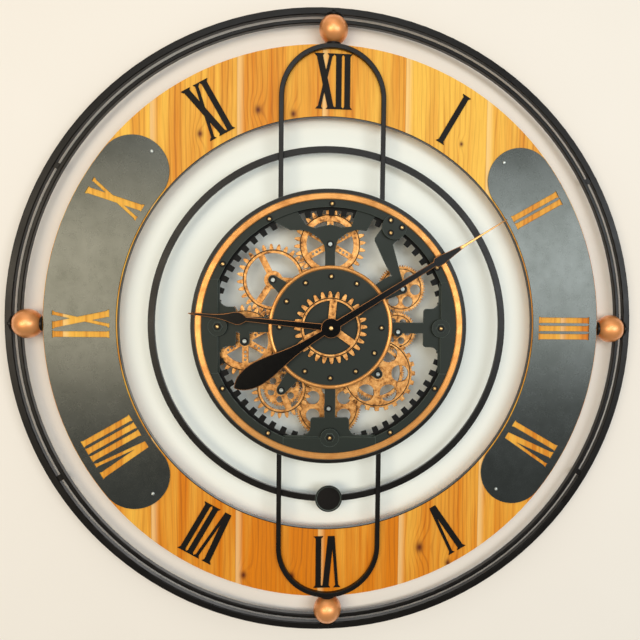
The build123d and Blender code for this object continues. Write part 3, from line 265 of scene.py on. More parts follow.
# a sprayed or moulded skin: fine orange peel, its grit drawn at about 1 mm so that it shows
def makeCoat(name, base, worn, rough, grit=0.0012, metallic=0.0, peel=0.12, gloss=0.5, varnish=0.0):
    finish, tree, shader, place = newFinish(name)
    skin = addNode(tree, "ShaderNodeTexNoise", inputs={"Vector": place, "Scale": 1 / grit, "Detail": 2.0})
    patchy = addNode(tree, "ShaderNodeTexNoise", inputs={
        "Vector": place, "Scale": 1 / coat["patchSize"], "Detail": 4.0, "Roughness": 0.6})
    where = addNode(tree, "ShaderNodeMapRange", inputs=(patchy.outputs["Fac"], *coat["worn"]))
    toned = addNode(tree, "ShaderNodeMix", {"data_type": "RGBA"}, {0: where, 6: tint(base), 7: tint(worn)})
    tree.links.new(toned.outputs[2], shader.inputs["Base Color"])
    rubbed = addNode(tree, "ShaderNodeMapRange", inputs=(
        patchy.outputs["Fac"], coat["rubFrom"], coat["rubTo"],
        rough - coat["smoother"], rough + coat["rougher"]))
    tree.links.new(rubbed.outputs[0], shader.inputs["Roughness"])
    shader.inputs["Metallic"].default_value = metallic
    if metallic == 0.0:
        shader.inputs["Specular IOR Level"].default_value = gloss
    shader.inputs["Coat Weight"].default_value = varnish
    shader.inputs["Coat Roughness"].default_value = coat["varnishRough"]
    bump = addNode(tree, "ShaderNodeBump",
                   inputs={"Strength": peel, "Distance": coat["peelHeight"], "Height": skin.outputs["Fac"]})
    tree.links.new(bump.outputs[0], shader.inputs["Normal"])
    return finish


copper = {
    "bright": "#E6B06C", "body": "#BC8144", "dull": "#553219", "groove": "#2A180B", "metallic": 0.75,
    "patchSize": 0.006, "grainSize": 0.0011, "dullAt": 0.30, "brightAt": 0.74,
    "speckle": (0.3, 0.7, 0.82, 1.12),
    "stainFrom": 0.3, "stainTo": 0.75, "rougher": 0.14, "smoother": 0.04,
    "bump": 0.2, "bumpHeight": 0.0003,
}


# antique copper plate: rubbed highlights over a brown patina, slightly grainy
def makeCopper(name, rough, dullShare):
    finish, tree, shader, place = newFinish(name)
    stain = addNode(tree, "ShaderNodeTexNoise", inputs={
        "Vector": place, "Scale": 1 / copper["patchSize"], "Detail": 5.0, "Roughness": 0.62})
    grain = addNode(tree, "ShaderNodeTexNoise",
                    inputs={"Vector": place, "Scale": 1 / copper["grainSize"], "Detail": 3.0})
    stops = [(copper["dullAt"], tint(copper["dull"])),
             (copper["dullAt"] + dullShare, tint(copper["body"])),
             (copper["brightAt"], tint(copper["bright"]))]
    tone = addNode(tree, "ShaderNodeValToRGB", {"stops": stops}, (stain.outputs["Fac"],))
    speckle = addNode(tree, "ShaderNodeMapRange", inputs=(grain.outputs["Fac"], *copper["speckle"]))
    grainy = addNode(tree, "ShaderNodeVectorMath", {"operation": "SCALE"}, {0: tone, "Scale": speckle})
    # painted shade: the grooves and side walls of the wheels darken towards the groove colour
    soot = addNode(tree, "ShaderNodeAttribute", {"attribute_name": "soot"}).outputs["Fac"]
    shadeDarkened = addNode(tree, "ShaderNodeMix", {"data_type": "RGBA"},
                     {0: soot, 6: grainy, 7: tint(copper["groove"])})
    tree.links.new(shadeDarkened.outputs[2], shader.inputs["Base Color"])
    shader.inputs["Metallic"].default_value = copper["metallic"]
    varied = addNode(tree, "ShaderNodeMapRange", inputs=(
        stain.outputs["Fac"], copper["stainFrom"], copper["stainTo"],
        rough + copper["rougher"], rough - copper["smoother"]))
    tree.links.new(varied.outputs[0], shader.inputs["Roughness"])
    bump = addNode(tree, "ShaderNodeBump", inputs={
        "Strength": copper["bump"], "Distance": copper["bumpHeight"], "Height": grain.outputs["Fac"]})
    tree.links.new(bump.outputs[0], shader.inputs["Normal"])
    return finish


turned = {
    "metallic": 0.9, "stainSize": 0.02, "tarnished": (0.45, 0.78, 0.0, 0.75),
    "ringShade": (0.3, 0.7, 0.86, 1.08), "stainFrom": 0.3, "stainTo": 0.75, "rougher": 0.15,
    "bump": 0.15, "bumpHeight": 0.0002,
}


# turned metal: fine rings about the hands' axis, with tarnish in patches
def makeTurned(name, base, tarnish, rough, ringSize=0.0007, brushed=0.0):
    finish, tree, shader, place = newFinish(name)
    flat = addNode(tree, "ShaderNodeVectorMath", {"operation": "MULTIPLY"}, (place, (1.0, 0.0, 1.0)))
    radius = addNode(tree, "ShaderNodeVectorMath", {"operation": "LENGTH"}, (flat,))
    rings = addNode(tree, "ShaderNodeTexNoise", {"noise_dimensions": "1D"},
                    {"W": radius.outputs["Value"], "Scale": 1 / ringSize, "Detail": 2.0})
    stain = addNode(tree, "ShaderNodeTexNoise", inputs={
        "Vector": place, "Scale": 1 / turned["stainSize"], "Detail": 5.0, "Roughness": 0.65})
    where = addNode(tree, "ShaderNodeMapRange", inputs=(stain.outputs["Fac"], *turned["tarnished"]))
    toned = addNode(tree, "ShaderNodeMix", {"data_type": "RGBA"}, {0: where, 6: tint(base), 7: tint(tarnish)})
    lined = addNode(tree, "ShaderNodeMapRange", inputs=(rings.outputs["Fac"], *turned["ringShade"]))
    ringed = addNode(tree, "ShaderNodeVectorMath", {"operation": "SCALE"},
                     {0: toned.outputs[2], "Scale": lined})
    tree.links.new(ringed.outputs[0], shader.inputs["Base Color"])
    shader.inputs["Metallic"].default_value = turned["metallic"]
    shader.inputs["Anisotropic"].default_value = brushed
    tree.links.new(flat.outputs[0], shader.inputs["Tangent"])
    varied = addNode(tree, "ShaderNodeMapRange", inputs=(
        stain.outputs["Fac"], turned["stainFrom"], turned["stainTo"], rough, rough + turned["rougher"]))
    tree.links.new(varied.outputs[0], shader.inputs["Roughness"])
    bump = addNode(tree, "ShaderNodeBump", inputs={
        "Strength": turned["bump"], "Distance": turned["bumpHeight"], "Height": rings.outputs["Fac"]})
    tree.links.new(bump.outputs[0], shader.inputs["Normal"])
    return finish


hands = {
    "face": "#040303", "dust": "#090706", "edge": "#D4905A", "needle": "#C08A50",
    "bearing": 32.4, "needleFrom": 0.192, "needleFade": 0.004,  # where the bare tip of the minute hand starts
    "cutEdge": (0.9, 0.97, 1.0, 0.0), "edgeMetallic": 0.7,
    "dustSize": 0.006, "dusty": (0.4, 0.75, 0.0, 0.4), "rough": (0.3, 0.7, 0.22, 0.27), "gloss": 0.08,
}


# black lacquer on the faces, copper on the cut edges and on the needle of the minute hand
def makeHandLacquer():
    finish, tree, shader, place = newFinish("blackLacquerCopperEdge")
    normal = addNode(tree, "ShaderNodeTexCoord").outputs["Normal"]
    split = addNode(tree, "ShaderNodeSeparateXYZ", inputs=(normal,))
    facing = addNode(tree, "ShaderNodeMath", {"operation": "ABSOLUTE"}, (split.outputs[1],))
    side = addNode(tree, "ShaderNodeMapRange", inputs=(facing, *hands["cutEdge"]))
    turn = math.radians(hands["bearing"])
    along = addNode(tree, "ShaderNodeVectorMath", {"operation": "DOT_PRODUCT"},
                    (place, (math.cos(turn), 0.0, math.sin(turn))))
    tip = hands["needleFrom"]
    needle = addNode(tree, "ShaderNodeMapRange",
                     inputs=(along.outputs["Value"], tip - hands["needleFade"], tip, 0.0, 1.0))
    bare = addNode(tree, "ShaderNodeMath", {"operation": "MAXIMUM"}, (side, needle))
    cloud = addNode(tree, "ShaderNodeTexNoise",
                    inputs={"Vector": place, "Scale": 1 / hands["dustSize"], "Detail": 4.0})
    dusty = addNode(tree, "ShaderNodeMapRange", inputs=(cloud.outputs["Fac"], *hands["dusty"]))
    black = addNode(tree, "ShaderNodeMix", {"data_type": "RGBA"},
                    {0: dusty, 6: tint(hands["face"]), 7: tint(hands["dust"])})
    metal = addNode(tree, "ShaderNodeMix", {"data_type": "RGBA"},
                    {0: needle, 6: tint(hands["edge"]), 7: tint(hands["needle"])})
    edged = addNode(tree, "ShaderNodeMix", {"data_type": "RGBA"},
                    {0: bare, 6: black.outputs[2], 7: metal.outputs[2]})
    tree.links.new(edged.outputs[2], shader.inputs["Base Color"])
    shine = addNode(tree, "ShaderNodeMath", {"operation": "MULTIPLY"}, (bare, hands["edgeMetallic"]))
    tree.links.new(shine.outputs[0], shader.inputs["Metallic"])
    rough = addNode(tree, "ShaderNodeMapRange", inputs=(cloud.outputs["Fac"], *hands["rough"]))
    tree.links.new(rough.outputs[0], shader.inputs["Roughness"])
    shader.inputs["Specular IOR Level"].default_value = hands["gloss"]
    return finish


sleeve = {"body": "#23262B", "band": "#B98A3C", "bandFrom": 0.012, "bandTo": 0.024,
          "filmSize": 0.004, "rough": (0.3, 0.7, 0.26, 0.36)}


# printed film round a dry cell: a dark body and a gold band, with no lettering
def makeCellSleeve():
    finish, tree, shader, place = newFinish("drycellSleeve")
    x = addNode(tree, "ShaderNodeSeparateXYZ", inputs=(place,))
    over = addNode(tree, "ShaderNodeMath", {"operation": "GREATER_THAN"}, (x, sleeve["bandFrom"]))
    under = addNode(tree, "ShaderNodeMath", {"operation": "LESS_THAN"}, (x, sleeve["bandTo"]))
    band = addNode(tree, "ShaderNodeMath", {"operation": "MULTIPLY"}, (over, under))
    film = addNode(tree, "ShaderNodeTexNoise",
                   inputs={"Vector": place, "Scale": 1 / sleeve["filmSize"], "Detail": 2.0})
    toned = addNode(tree, "ShaderNodeMix", {"data_type": "RGBA"},
                    {0: band, 6: tint(sleeve["body"]), 7: tint(sleeve["band"])})
    tree.links.new(toned.outputs[2], shader.inputs["Base Color"])
    rough = addNode(tree, "ShaderNodeMapRange", inputs=(film.outputs["Fac"], *sleeve["rough"]))
    tree.links.new(rough.outputs[0], shader.inputs["Roughness"])
    return finish


finishes = {
    "pine": makePine(),
    "slate": makeSlate(),
    # painted steel: near black, from a low satin sheen to dead mat
    "rim": makeCoat("satinBlackPowderCoat", "#110D0A", "#18130E", 0.32, gloss=0.2),
    "numeral": makeCoat("blackEnamel", "#0E0A07", "#15100C", 0.5, gloss=0.15),
    # blackened steel that is also painted shade: the toothed ring, lying in shade inside the case, is painted
    # darker than the front ring, and the same black colours the dark discs under the screw heads
    "blackAndShade": makeCoat("blackSteelAndShade", "#0C0B0A", "#14120F", 0.55, gloss=0.15),
    # painted castings: greenish black, and a paler finish on the bevelled edges that is a painted highlight
    "castBlack": makeCoat("matGraphitePaint", "#1A211A", "#212821", 0.5, gloss=0.25),
    "castEdgeHighlight": makeCoat("graphitePaintEdgeHighlight", "#4A524A", "#59625A", 0.42, gloss=0.4),
    "copper": makeCopper("antiqueCopper", 0.42, 0.16),
    "copperEdge": makeCopper("rubbedCopper", 0.34, 0.06),
    # copper under clear lacquer: a warm body with a soft light on it
    "ball": makeCoat("copperLacquer", "#FAA65E", "#F09850", 0.44, metallic=0.72, peel=0.02, varnish=1.0),
    "gold": makeTurned("brushedGilt", "#DE9C58", "#AA682F", 0.34, brushed=0.8),
    "brass": makeTurned("turnedBrass", "#E0BA7E", "#A67C42", 0.28, 0.0004),
    "steel": makeTurned("turnedSteel", "#8F9490", "#5E6365", 0.36, 0.0004),
    "zinc": makeTurned("zincPlate", "#D3D6D0", "#A9ACA6", 0.34, 0.0004),
    # moulded housing: a dull, finely grained black
    "plastic": makeCoat("blackMouldedAbs", "#17181A", "#1F2022", 0.48, grit=0.0009),
    "hand": makeHandLacquer(),
    "cell": makeCellSleeve(),
}
print("finishes made,", len(finishes))


def coatNode(node, finish):
    mesh = frame["nodes"][node].data
    mesh.materials.clear()
    mesh.materials.append(finishes[finish])


# how strong the painted shade is in the groove and on the side walls
soot = {"grooveHalf": 0.00075, "sunkBy": 0.0001, "inGroove": 0.95, "onWalls": 0.6}


# painted shade: dark colour laid in the turned groove and, thinner, on the side walls, where shade would fall
def markPaintedShade(mesh, groove, front):
    low, high = [[f(v.co[i] for v in mesh.vertices) for i in range(3)] for f in (min, max)]
    middle = ((low[0] + high[0]) / 2, (low[2] + high[2]) / 2)
    layer = mesh.attributes.new("soot", "FLOAT", "FACE")
    for face in mesh.polygons:
        away = math.hypot(face.center.x - middle[0], face.center.z - middle[1])
        sunk = face.center.y > soot["sunkBy"] - front
        inGroove = abs(away - groove) < soot["grooveHalf"] and sunk
        wallShare = soot["onWalls"] * max(0.0, 1.0 - 2.0 * abs(face.normal.y))
        layer.data[face.index].value = soot["inGroove"] if inGroove else wallShare


# roundFrom and sharpFrom are in degrees, flat is how far a flat face's normal lies along the clock's axis
edges = {"merge": 2e-6, "segments": 2, "roundFrom": 35, "sharpFrom": 32, "flat": 0.999}


# a copy of a CAD node with merged points, rounded edges and a finish of its own on them
def softEdges(node, finish, edgeFinish, width, groove=None):
    source = frame["nodes"][node]
    mesh = source.data.copy()
    work = bmesh.new()
    work.from_mesh(mesh)
    bmesh.ops.remove_doubles(work, verts=work.verts, dist=edges["merge"])
    work.to_mesh(mesh)
    work.free()
    mesh.materials.clear()
    mesh.materials.append(finishes[finish])
    mesh.materials.append(finishes[edgeFinish])
    mesh.polygons.foreach_set("material_index", [0] * len(mesh.polygons))
    piece = bpy.data.objects.new(node + ".soft", mesh)
    bpy.context.scene.collection.objects.link(piece)
    bevel = piece.modifiers.new("edge", "BEVEL")
    bevel.width = width
    bevel.segments = edges["segments"]
    bevel.limit_method = "ANGLE"
    bevel.angle_limit = math.radians(edges["roundFrom"])
    bevel.use_clamp_overlap = False
    bevel.loop_slide = False
    bevel.material = 1
    plain = bpy.data.meshes.new_from_object(piece.evaluated_get(bpy.context.evaluated_depsgraph_get()))
    piece.modifiers.clear()
    piece.data = plain
    bpy.data.meshes.remove(mesh)
    plain.name = node + ".soft"
    # flat faces stay flat, round ones are smooth
    plain.set_sharp_from_angle(angle=math.radians(edges["sharpFrom"]))
    plain.polygons.foreach_set("use_smooth", [abs(face.normal.y) < edges["flat"] for face in plain.polygons])
    if groove:
        markPaintedShade(plain, *groove)
    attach(piece, source["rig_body"])
    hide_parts(node)


# nodes whose shape is kept as it is
kept = {
    "pine": ["wood_dial"],
    "rim": ["outer_rim", "inner_rim", "rim_ties", "ball_pads", "ball_studs", "dial_edge_hoop",
            "upper_loop", "lower_loop"],
    "ball": ["rim_balls"],
    "gold": ["gold_bezel", "centre_ring"],
    "steel": ["gear_posts", "hanger", "minute_arbor", "gear_motor"],
    "brass": ["hand_nut", "stem_nut", "drive_pinion"],
    "plastic": ["movement_housing", "housing_cover", "quartz_module", "set_knob"],
    "cell": ["battery_cells"],
}
for finish, nodes in kept.items():
    for node in nodes:
        coatNode(node, finish)

# nodes that get rounded edges: face finish, edge finish, edge width in metres
rounded = [
    (["numeral_12", "numeral_1", "numeral_5", "numeral_6", "numeral_7", "numeral_11"],
     "numeral", "numeral", 0.00025),
    (["left_hour_plate", "right_hour_plate"], "slate", "castEdgeHighlight", 0.0002),
    (["middle_ring"], "rim", "rim", 0.0005),
    (["case_ring"], "rim", "castEdgeHighlight", 0.0005),
    # the toothed ring is painted darker than the front ring for the shade it lies in
    (["toothed_ring"], "blackAndShade", "castBlack", 0.0003),
    (["front_ring", "left_bracket", "right_bracket", "bottom_bracket", "top_bracket", "click_arm",
      "click_plate", "frame_bosses", "pivot_spider", "centre_plate"], "castBlack", "castEdgeHighlight", 0.0003),
    (["foot_plate"], "rim", "castEdgeHighlight", 0.0004),
    (["minute_hand", "hour_hand"], "hand", "hand", 0.0006),
]
# wheels: edge width, groove radius and front level
wheels = {
    "centre_gear": (0.00025, 0.0367, 0.049),
    "top_wheel": (0.00025, 0.03725, 0.0325),
    "upper_left_wheel": (0.00025, 0.03725, 0.0325),
    "left_wheel": (0.00025, 0.03725, 0.0325),
    "lower_left_wheel": (0.00025, 0.02975, 0.0325),
    "lower_right_wheel": (0.00025, 0.0421, 0.0325),
    "bottom_wheel": (0.00012, 0.03675, 0.026),
    "right_wheel": (0.00012, 0.02025, 0.026),
    "upper_right_wheel": (0.00012, 0.02575, 0.026),
}
for nodes, finish, edgeFinish, width in rounded:
    for node in nodes:
        softEdges(node, finish, edgeFinish, width)
for node, (width, groove, front) in wheels.items():
    softEdges(node, "copper", "copperEdge", width, (groove, front))
print("edges rounded")


# the dark disc under a seated head is painted shade for the recess round it; its radius and height are the
# last two sizes
screwSizes = {"headRadius": 0.0024, "headHeight": 0.0019, "slotWidth": 0.0006, "slotDepth": 0.0006,
              "shankRadius": 0.0015, "shankLength": 0.0065, "shadeRingRadius": 0.0040, "shadeRingHeight": 0.0005}
# ring radius, face depth and bearings of the brass screws on the front
ringScrews = {
    "centre": (0.0637, 0.045, [30 * i for i in range(12)]),
    "frame": (0.15359, 0.045, [90, 30, 330, 300, 240, 210, 150, 120]),
    "bosses": (0.13909, 0.048, [0, 180, 270]),
    "click": (0.15319, 0.0475, [61.5, 55.3]),
    "clickInner": (0.13979, 0.0475, [58.4]),
}
coverScrews = {"radius": 0.068, "depth": 0.0024, "bearings": [90, 210, 330]}
plateScrews = {"radius": 0.30844, "depth": 0.0245, "bearings": [-44, 44, 136, 224]}
pillarScrews = {"depth": 0.039, "places": [(-0.042, 0.005), (-0.002, -0.044), (0.025, 0.038)]}
hangerScrews = {"depth": 0.014, "places": [(-0.022, 0.29959), (0.022, 0.29959)]}
# degrees that a slot turns for each degree of bearing or metre of x, so that they stand at odd angles
slotSpin = {"ring": 7.3, "plate": 3.1, "pillar": 2000, "hanger": 3000}
# pale domed caps on the ends of the gear posts, each on a dark disc of painted shade
capSizes = {"headRadius": 0.0029, "headHeight": 0.0018, "slotWidth": 0.0006, "slotDepth": 0.0004,
            "shankRadius": 0.0008, "shankLength": 0.001, "shadeRingRadius": 0.0045, "shadeRingHeight": 0.0005}
capDepth = 0.041
# sides of the round parts, the cutter's width in head radii and the sharp angle in degrees
screwMesh = {"head": 28, "headRings": 14, "shank": 20, "flange": 28, "cutter": 4.0, "sharpFrom": 35}


# a node tree that puts a slotted dome head and its shank on every point, and under the seated ones a dark
# disc of painted shade that stands for the shaded recess round the head
def screwTree():
    tree = bpy.data.node_groups.new("slottedDomeScrews", "GeometryNodeTree")
    tree.interface.new_socket("Geometry", in_out="INPUT", socket_type="NodeSocketGeometry")
    for name in screwSizes:
        tree.interface.new_socket(name, in_out="INPUT", socket_type="NodeSocketFloat")
    for name in ("finish", "shadeRingFinish"):
        tree.interface.new_socket(name, in_out="INPUT", socket_type="NodeSocketMaterial")
    tree.interface.new_socket("Geometry", in_out="OUTPUT", socket_type="NodeSocketGeometry")
    ask = addNode(tree, "NodeGroupInput").outputs
    # the head is the upper half of a squashed ball
    ball = addNode(tree, "GeometryNodeMeshUVSphere", inputs={
        "Segments": screwMesh["head"], "Rings": screwMesh["headRings"], "Radius": ask["headRadius"]})
    squash = addNode(tree, "ShaderNodeMath", {"operation": "DIVIDE"}, (ask["headHeight"], ask["headRadius"]))
    squashed = addNode(tree, "ShaderNodeCombineXYZ", inputs=(1.0, 1.0, squash))
    dome = addNode(tree, "GeometryNodeTransform", inputs={"Geometry": ball, "Scale": squashed})
    wide = addNode(tree, "ShaderNodeMath", {"operation": "MULTIPLY"},
                   (ask["headRadius"], screwMesh["cutter"]))
    underSize = addNode(tree, "ShaderNodeCombineXYZ", inputs=(wide, wide, wide))
    underCube = addNode(tree, "GeometryNodeMeshCube", inputs={"Size": underSize})
    drop = addNode(tree, "ShaderNodeMath", {"operation": "MULTIPLY"},
                   (ask["headRadius"], -screwMesh["cutter"] / 2))
    underAt = addNode(tree, "ShaderNodeCombineXYZ", inputs=(0.0, 0.0, drop))
    underCut = addNode(tree, "GeometryNodeTransform", inputs={"Geometry": underCube, "Translation": underAt})
    half = addNode(tree, "GeometryNodeMeshBoolean", {"operation": "DIFFERENCE"},
                   {"Mesh 1": dome, "Mesh 2": underCut})
    # the slot's cutter sits half above the head's top
    deep = addNode(tree, "ShaderNodeMath", {"operation": "MULTIPLY"}, (ask["slotDepth"], 2.0))
    slotSize = addNode(tree, "ShaderNodeCombineXYZ", inputs=(wide, ask["slotWidth"], deep))
    slotCube = addNode(tree, "GeometryNodeMeshCube", inputs={"Size": slotSize})
    topAt = addNode(tree, "ShaderNodeCombineXYZ", inputs=(0.0, 0.0, ask["headHeight"]))
    slotCut = addNode(tree, "GeometryNodeTransform", inputs={"Geometry": slotCube, "Translation": topAt})
    head = addNode(tree, "GeometryNodeMeshBoolean", {"operation": "DIFFERENCE"},
                   {"Mesh 1": half, "Mesh 2": slotCut})
    rod = addNode(tree, "GeometryNodeMeshCylinder", inputs={
        "Vertices": screwMesh["shank"], "Radius": ask["shankRadius"], "Depth": ask["shankLength"]})
    sink = addNode(tree, "ShaderNodeMath", {"operation": "MULTIPLY"}, (ask["shankLength"], -0.5))
    rodAt = addNode(tree, "ShaderNodeCombineXYZ", inputs=(0.0, 0.0, sink))
    shank = addNode(tree, "GeometryNodeTransform", inputs={"Geometry": rod, "Translation": rodAt})
    disc = addNode(tree, "GeometryNodeMeshCylinder", inputs={
        "Vertices": screwMesh["flange"], "Radius": ask["shadeRingRadius"], "Depth": ask["shadeRingHeight"]})
    rise = addNode(tree, "ShaderNodeMath", {"operation": "MULTIPLY"}, (ask["shadeRingHeight"], 0.5))
    discAt = addNode(tree, "ShaderNodeCombineXYZ", inputs=(0.0, 0.0, rise))
    seated = addNode(tree, "GeometryNodeTransform", inputs={"Geometry": disc, "Translation": discAt})
    flange = addNode(tree, "GeometryNodeSetMaterial",
                     inputs={"Geometry": seated, "Material": ask["shadeRingFinish"]})
    marked = addNode(tree, "GeometryNodeStoreNamedAttribute", {"data_type": "BOOLEAN", "domain": "FACE"},
                     {"Geometry": flange, "Name": "flange", "Value": True})
    screw = addNode(tree, "GeometryNodeJoinGeometry")
    for part in (head, shank):
        tree.links.new(part.outputs[0], screw.inputs[0])
    points = addNode(tree, "GeometryNodeMeshToPoints", inputs={"Mesh": ask["Geometry"]})
    turn = addNode(tree, "GeometryNodeInputNamedAttribute", {"data_type": "FLOAT_VECTOR"}, {"Name": "turn"})
    seat = addNode(tree, "GeometryNodeInputNamedAttribute", {"data_type": "BOOLEAN"}, {"Name": "seat"})
    put = addNode(tree, "GeometryNodeInstanceOnPoints",
                  inputs={"Points": points, "Instance": screw, "Rotation": turn})
    under = addNode(tree, "GeometryNodeInstanceOnPoints",
                    inputs={"Points": points, "Selection": seat, "Instance": marked, "Rotation": turn})
    both = addNode(tree, "GeometryNodeJoinGeometry")
    for part in (put, under):
        tree.links.new(part.outputs[0], both.inputs[0])
    real = addNode(tree, "GeometryNodeRealizeInstances", inputs=(both,))
    isShadeRing = addNode(tree, "GeometryNodeInputNamedAttribute", {"data_type": "BOOLEAN"}, {"Name": "flange"})
    bright = addNode(tree, "FunctionNodeBooleanMath", {"operation": "NOT"}, (isShadeRing,))
    done = addNode(tree, "GeometryNodeSetMaterial",
                   inputs={"Geometry": real, "Selection": bright, "Material": ask["finish"]})
    addNode(tree, "NodeGroupOutput", inputs=(done,))
    return tree


# points with the way each screw faces, then the tree, then a plain mesh
def makeScrews(name, places, sizes, finish, tree):
    mesh = bpy.data.meshes.new(name)
    mesh.from_pydata([at for at, turn, seat in places], [], [])
    turns = mesh.attributes.new("turn", "FLOAT_VECTOR", "POINT")
    seats = mesh.attributes.new("seat", "BOOLEAN", "POINT")
    for index, (at, turn, seat) in enumerate(places):
        turns.data[index].vector = turn
        seats.data[index].value = seat
    piece = bpy.data.objects.new(name, mesh)
    bpy.context.scene.collection.objects.link(piece)
    maker = piece.modifiers.new("screws", "NODES")
    maker.node_group = tree
    values = {**sizes, "finish": finishes[finish], "shadeRingFinish": finishes["blackAndShade"]}
    for socket in tree.interface.items_tree:
        if socket.in_out == "INPUT" and socket.name in values:
            maker[socket.identifier] = values[socket.name]
    plain = bpy.data.meshes.new_from_object(piece.evaluated_get(bpy.context.evaluated_depsgraph_get()))
    piece.modifiers.clear()
    piece.data = plain
    bpy.data.meshes.remove(mesh)
    plain.polygons.foreach_set("use_smooth", [True] * len(plain.polygons))
    plain.set_sharp_from_angle(angle=math.radians(screwMesh["sharpFrom"]))
    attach(piece, "clock")
    return piece


def frontScrew(x, z, depth, spin, seat):
    return (x, -depth, z), (math.radians(90), math.radians(spin), 0), seat


def rearScrew(x, z, depth, spin):
    return (x, -depth, z), (math.radians(-90), math.radians(spin), 0), False


def onRing(radius, bearing):
    return radius * math.cos(math.radians(bearing)), radius * math.sin(math.radians(bearing))


domes = screwTree()
brassPlaces = []
for radius, depth, bearings in ringScrews.values():
    for bearing in bearings:
        x, z = onRing(radius, bearing)
        brassPlaces.append(frontScrew(x, z, depth, (bearing * slotSpin["ring"]) % 180, True))
for x, z in pillarScrews["places"]:
    brassPlaces.append(frontScrew(x, z, pillarScrews["depth"], x * slotSpin["pillar"], False))
for bearing in coverScrews["bearings"]:
    x, z = onRing(coverScrews["radius"], bearing)
    brassPlaces.append(rearScrew(x, z, coverScrews["depth"], bearing))
brassScrews = makeScrews("brassDomeScrews", brassPlaces, screwSizes, "brass", domes)
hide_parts("brass_screws")
zincPlaces = []
for bearing in plateScrews["bearings"]:
    x, z = onRing(plateScrews["radius"], bearing)
    zincPlaces.append(frontScrew(x, z, plateScrews["depth"], bearing * slotSpin["plate"], False))
for x, z in hangerScrews["places"]:
    zincPlaces.append(rearScrew(x, z, hangerScrews["depth"], x * slotSpin["hanger"]))
zincScrews = makeScrews("zincPlateScrews", zincPlaces, screwSizes, "zinc", domes)
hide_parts("wood_screws")
# every wheel's joint stands on the axis of its post
pivots = [joint["pos_m"] for joint in frame["joints"] if joint["name"].endswith("_wheel_spin")]
caps = [frontScrew(x, z, capDepth, 0, True) for x, y, z in pivots]
makeScrews("postPinEnds", caps, capSizes, "zinc", domes)
print("screws placed,", len(brassPlaces) + len(zincPlaces), "and", len(caps), "caps")


wall = {"size": 6.0, "behind": 0.0015, "paint": "#F4ECE2", "shade": "#ECE3D8", "paintedLight": "#F7F9F1",
        "cloudSize": 0.35, "paintedLightEdge": (0.25, 0.37, 0.0, 1.0), "rough": 0.9}


# painted plaster behind the clock: mat, cream, a little cloudy
def makeWall():
    mesh = bpy.data.meshes.new("plasterWall")
    half = wall["size"] / 2
    y = wall["behind"]
    corners = [(-half, y, -half), (half, y, -half), (half, y, half), (-half, y, half)]
    mesh.from_pydata(corners, [], [(0, 1, 2, 3)])
    piece = bpy.data.objects.new("plasterWall", mesh)
    bpy.context.scene.collection.objects.link(piece)
    finish, tree, shader, place = newFinish("creamPlasterPaint")
    cloud = addNode(tree, "ShaderNodeTexNoise",
                    inputs={"Vector": place, "Scale": 1 / wall["cloudSize"], "Detail": 3.0})
    toned = addNode(tree, "ShaderNodeMix", {"data_type": "RGBA"},
                    {0: cloud.outputs["Fac"], 6: tint(wall["paint"]), 7: tint(wall["shade"])})
    # painted light: inside the wood ring the wall is painted paler and cooler, lifting the shade the clock
    # casts there
    away = addNode(tree, "ShaderNodeVectorMath", {"operation": "LENGTH"}, (place,))
    paintedLightFade = addNode(tree, "ShaderNodeMapRange", {"interpolation_type": "SMOOTHSTEP"},
                     (away.outputs["Value"], *wall["paintedLightEdge"]))
    faded = addNode(tree, "ShaderNodeMix", {"data_type": "RGBA"},
                    {0: paintedLightFade, 6: tint(wall["paintedLight"]), 7: toned.outputs[2]})
    tree.links.new(faded.outputs[2], shader.inputs["Base Color"])
    shader.inputs["Roughness"].default_value = wall["rough"]
    # seen from behind, the wall is clear, so that the back of the clock shows
    ray = addNode(tree, "ShaderNodeLightPath")
    side = addNode(tree, "ShaderNodeNewGeometry")
    behind = addNode(tree, "ShaderNodeMath", {"operation": "MULTIPLY"},
                     (ray.outputs["Is Camera Ray"], side.outputs["Backfacing"]))
    clear = addNode(tree, "ShaderNodeBsdfTransparent")
    oneWay = addNode(tree, "ShaderNodeMixShader", inputs=(behind, shader, clear))
    tree.links.new(oneWay.outputs[0], tree.nodes["Material Output"].inputs["Surface"])
    mesh.materials.append(finish)
    return piece


backdrop = makeWall()

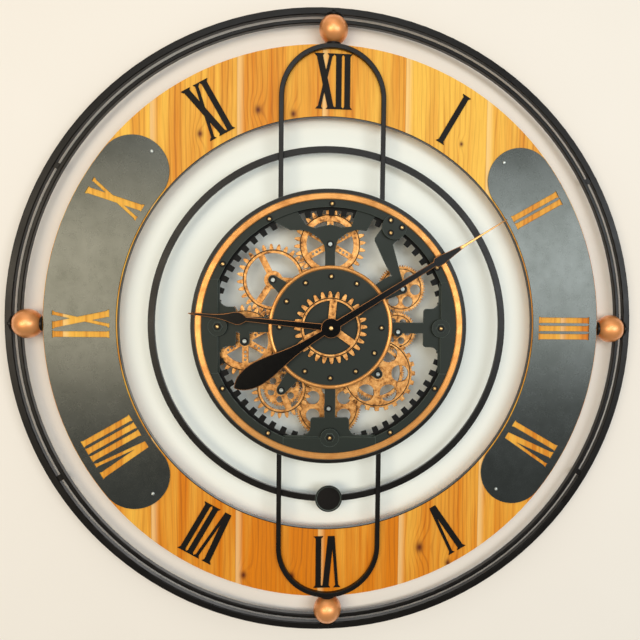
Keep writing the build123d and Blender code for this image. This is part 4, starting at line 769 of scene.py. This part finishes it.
# fitted to the edges of the rings in the photo
camera = {"place": (-0.02023, -0.89080, 0.05671), "turn": (86.773, -0.872, -5.358), "lens": 38.047,
          "shift": (-0.0915, 0.0015), "sensor": 36.0, "nearest": 0.01}
lens = bpy.data.cameras.new("photoView")
lens.sensor_width = camera["sensor"]
lens.lens = camera["lens"]
lens.shift_x, lens.shift_y = camera["shift"]
lens.clip_start = camera["nearest"]
viewer = bpy.data.objects.new("photoView", lens)
viewer.location = camera["place"]
viewer.rotation_euler = [math.radians(a) for a in camera["turn"]]
bpy.context.scene.collection.objects.link(viewer)
bpy.context.scene.camera = viewer

# name, place, aim, width, height, power, colour
softLights = [
    ("leftWindow", (-1.08, -2.4, 0.06), (0, 0, 0.05), 1.6, 0.85, 26.5, "#FFF0D6"),
    ("rightWindow", (1.15, -2.4, 0.16), (0, 0, 0.05), 1.6, 0.8, 27.0, "#F6FCFF"),
    ("ceilingGlow", (-0.4, -1.2, 2.0), (0, 0, 0.0), 2.4, 1.2, 7.0, "#FFF6E8"),
    ("frontFill", (-0.1, -3.2, 1.15), (0, 0, 0.0), 1.4, 0.9, 18.0, "#FBFFFF"),
    ("rearGlow", (0.5, 2.4, 0.6), (0, 0, 0.0), 1.6, 1.2, 10.0, "#FFFFFF"),
]
for name, at, aim, width, height, power, colour in softLights:
    lamp = bpy.data.lights.new(name, "AREA")
    lamp.shape = "RECTANGLE"
    lamp.size, lamp.size_y = width, height
    lamp.energy = power
    lamp.color = tint(colour)[:3]
    holder = bpy.data.objects.new(name, lamp)
    holder.location = at
    holder.rotation_euler = (Vector(aim) - Vector(at)).to_track_quat("-Z", "Y").to_euler()
    bpy.context.scene.collection.objects.link(holder)


# everything but one object, for what a lamp lights or what blocks it
def allBut(name, obj):
    group = bpy.data.collections.new(name)
    group.objects.link(obj)
    group.collection_objects[0].light_linking.link_state = "EXCLUDE"
    return group


# the lamp behind the wall shines through it, and puts no glint on the balls in front
rearLamp = bpy.data.objects["rearGlow"]
# direct light only, or the back of the wood throws an orange glow on the wall
rearLamp.data.cycles.max_bounces = 0
rearLamp.light_linking.blocker_collection = allBut("blocksRearGlow", backdrop)
rearLamp.light_linking.receiver_collection = allBut("getsRearGlow", frame["nodes"]["rim_balls"])

room = {"sky": "#E6EFF2", "strength": 0.32}
sky = bpy.data.worlds.new("room")
sky.use_nodes = True
sky.node_tree.nodes["Background"].inputs[0].default_value = tint(room["sky"])
sky.node_tree.nodes["Background"].inputs[1].default_value = room["strength"]
bpy.context.scene.world = sky
bpy.context.scene.view_settings.view_transform = "Standard"
print("room lit")
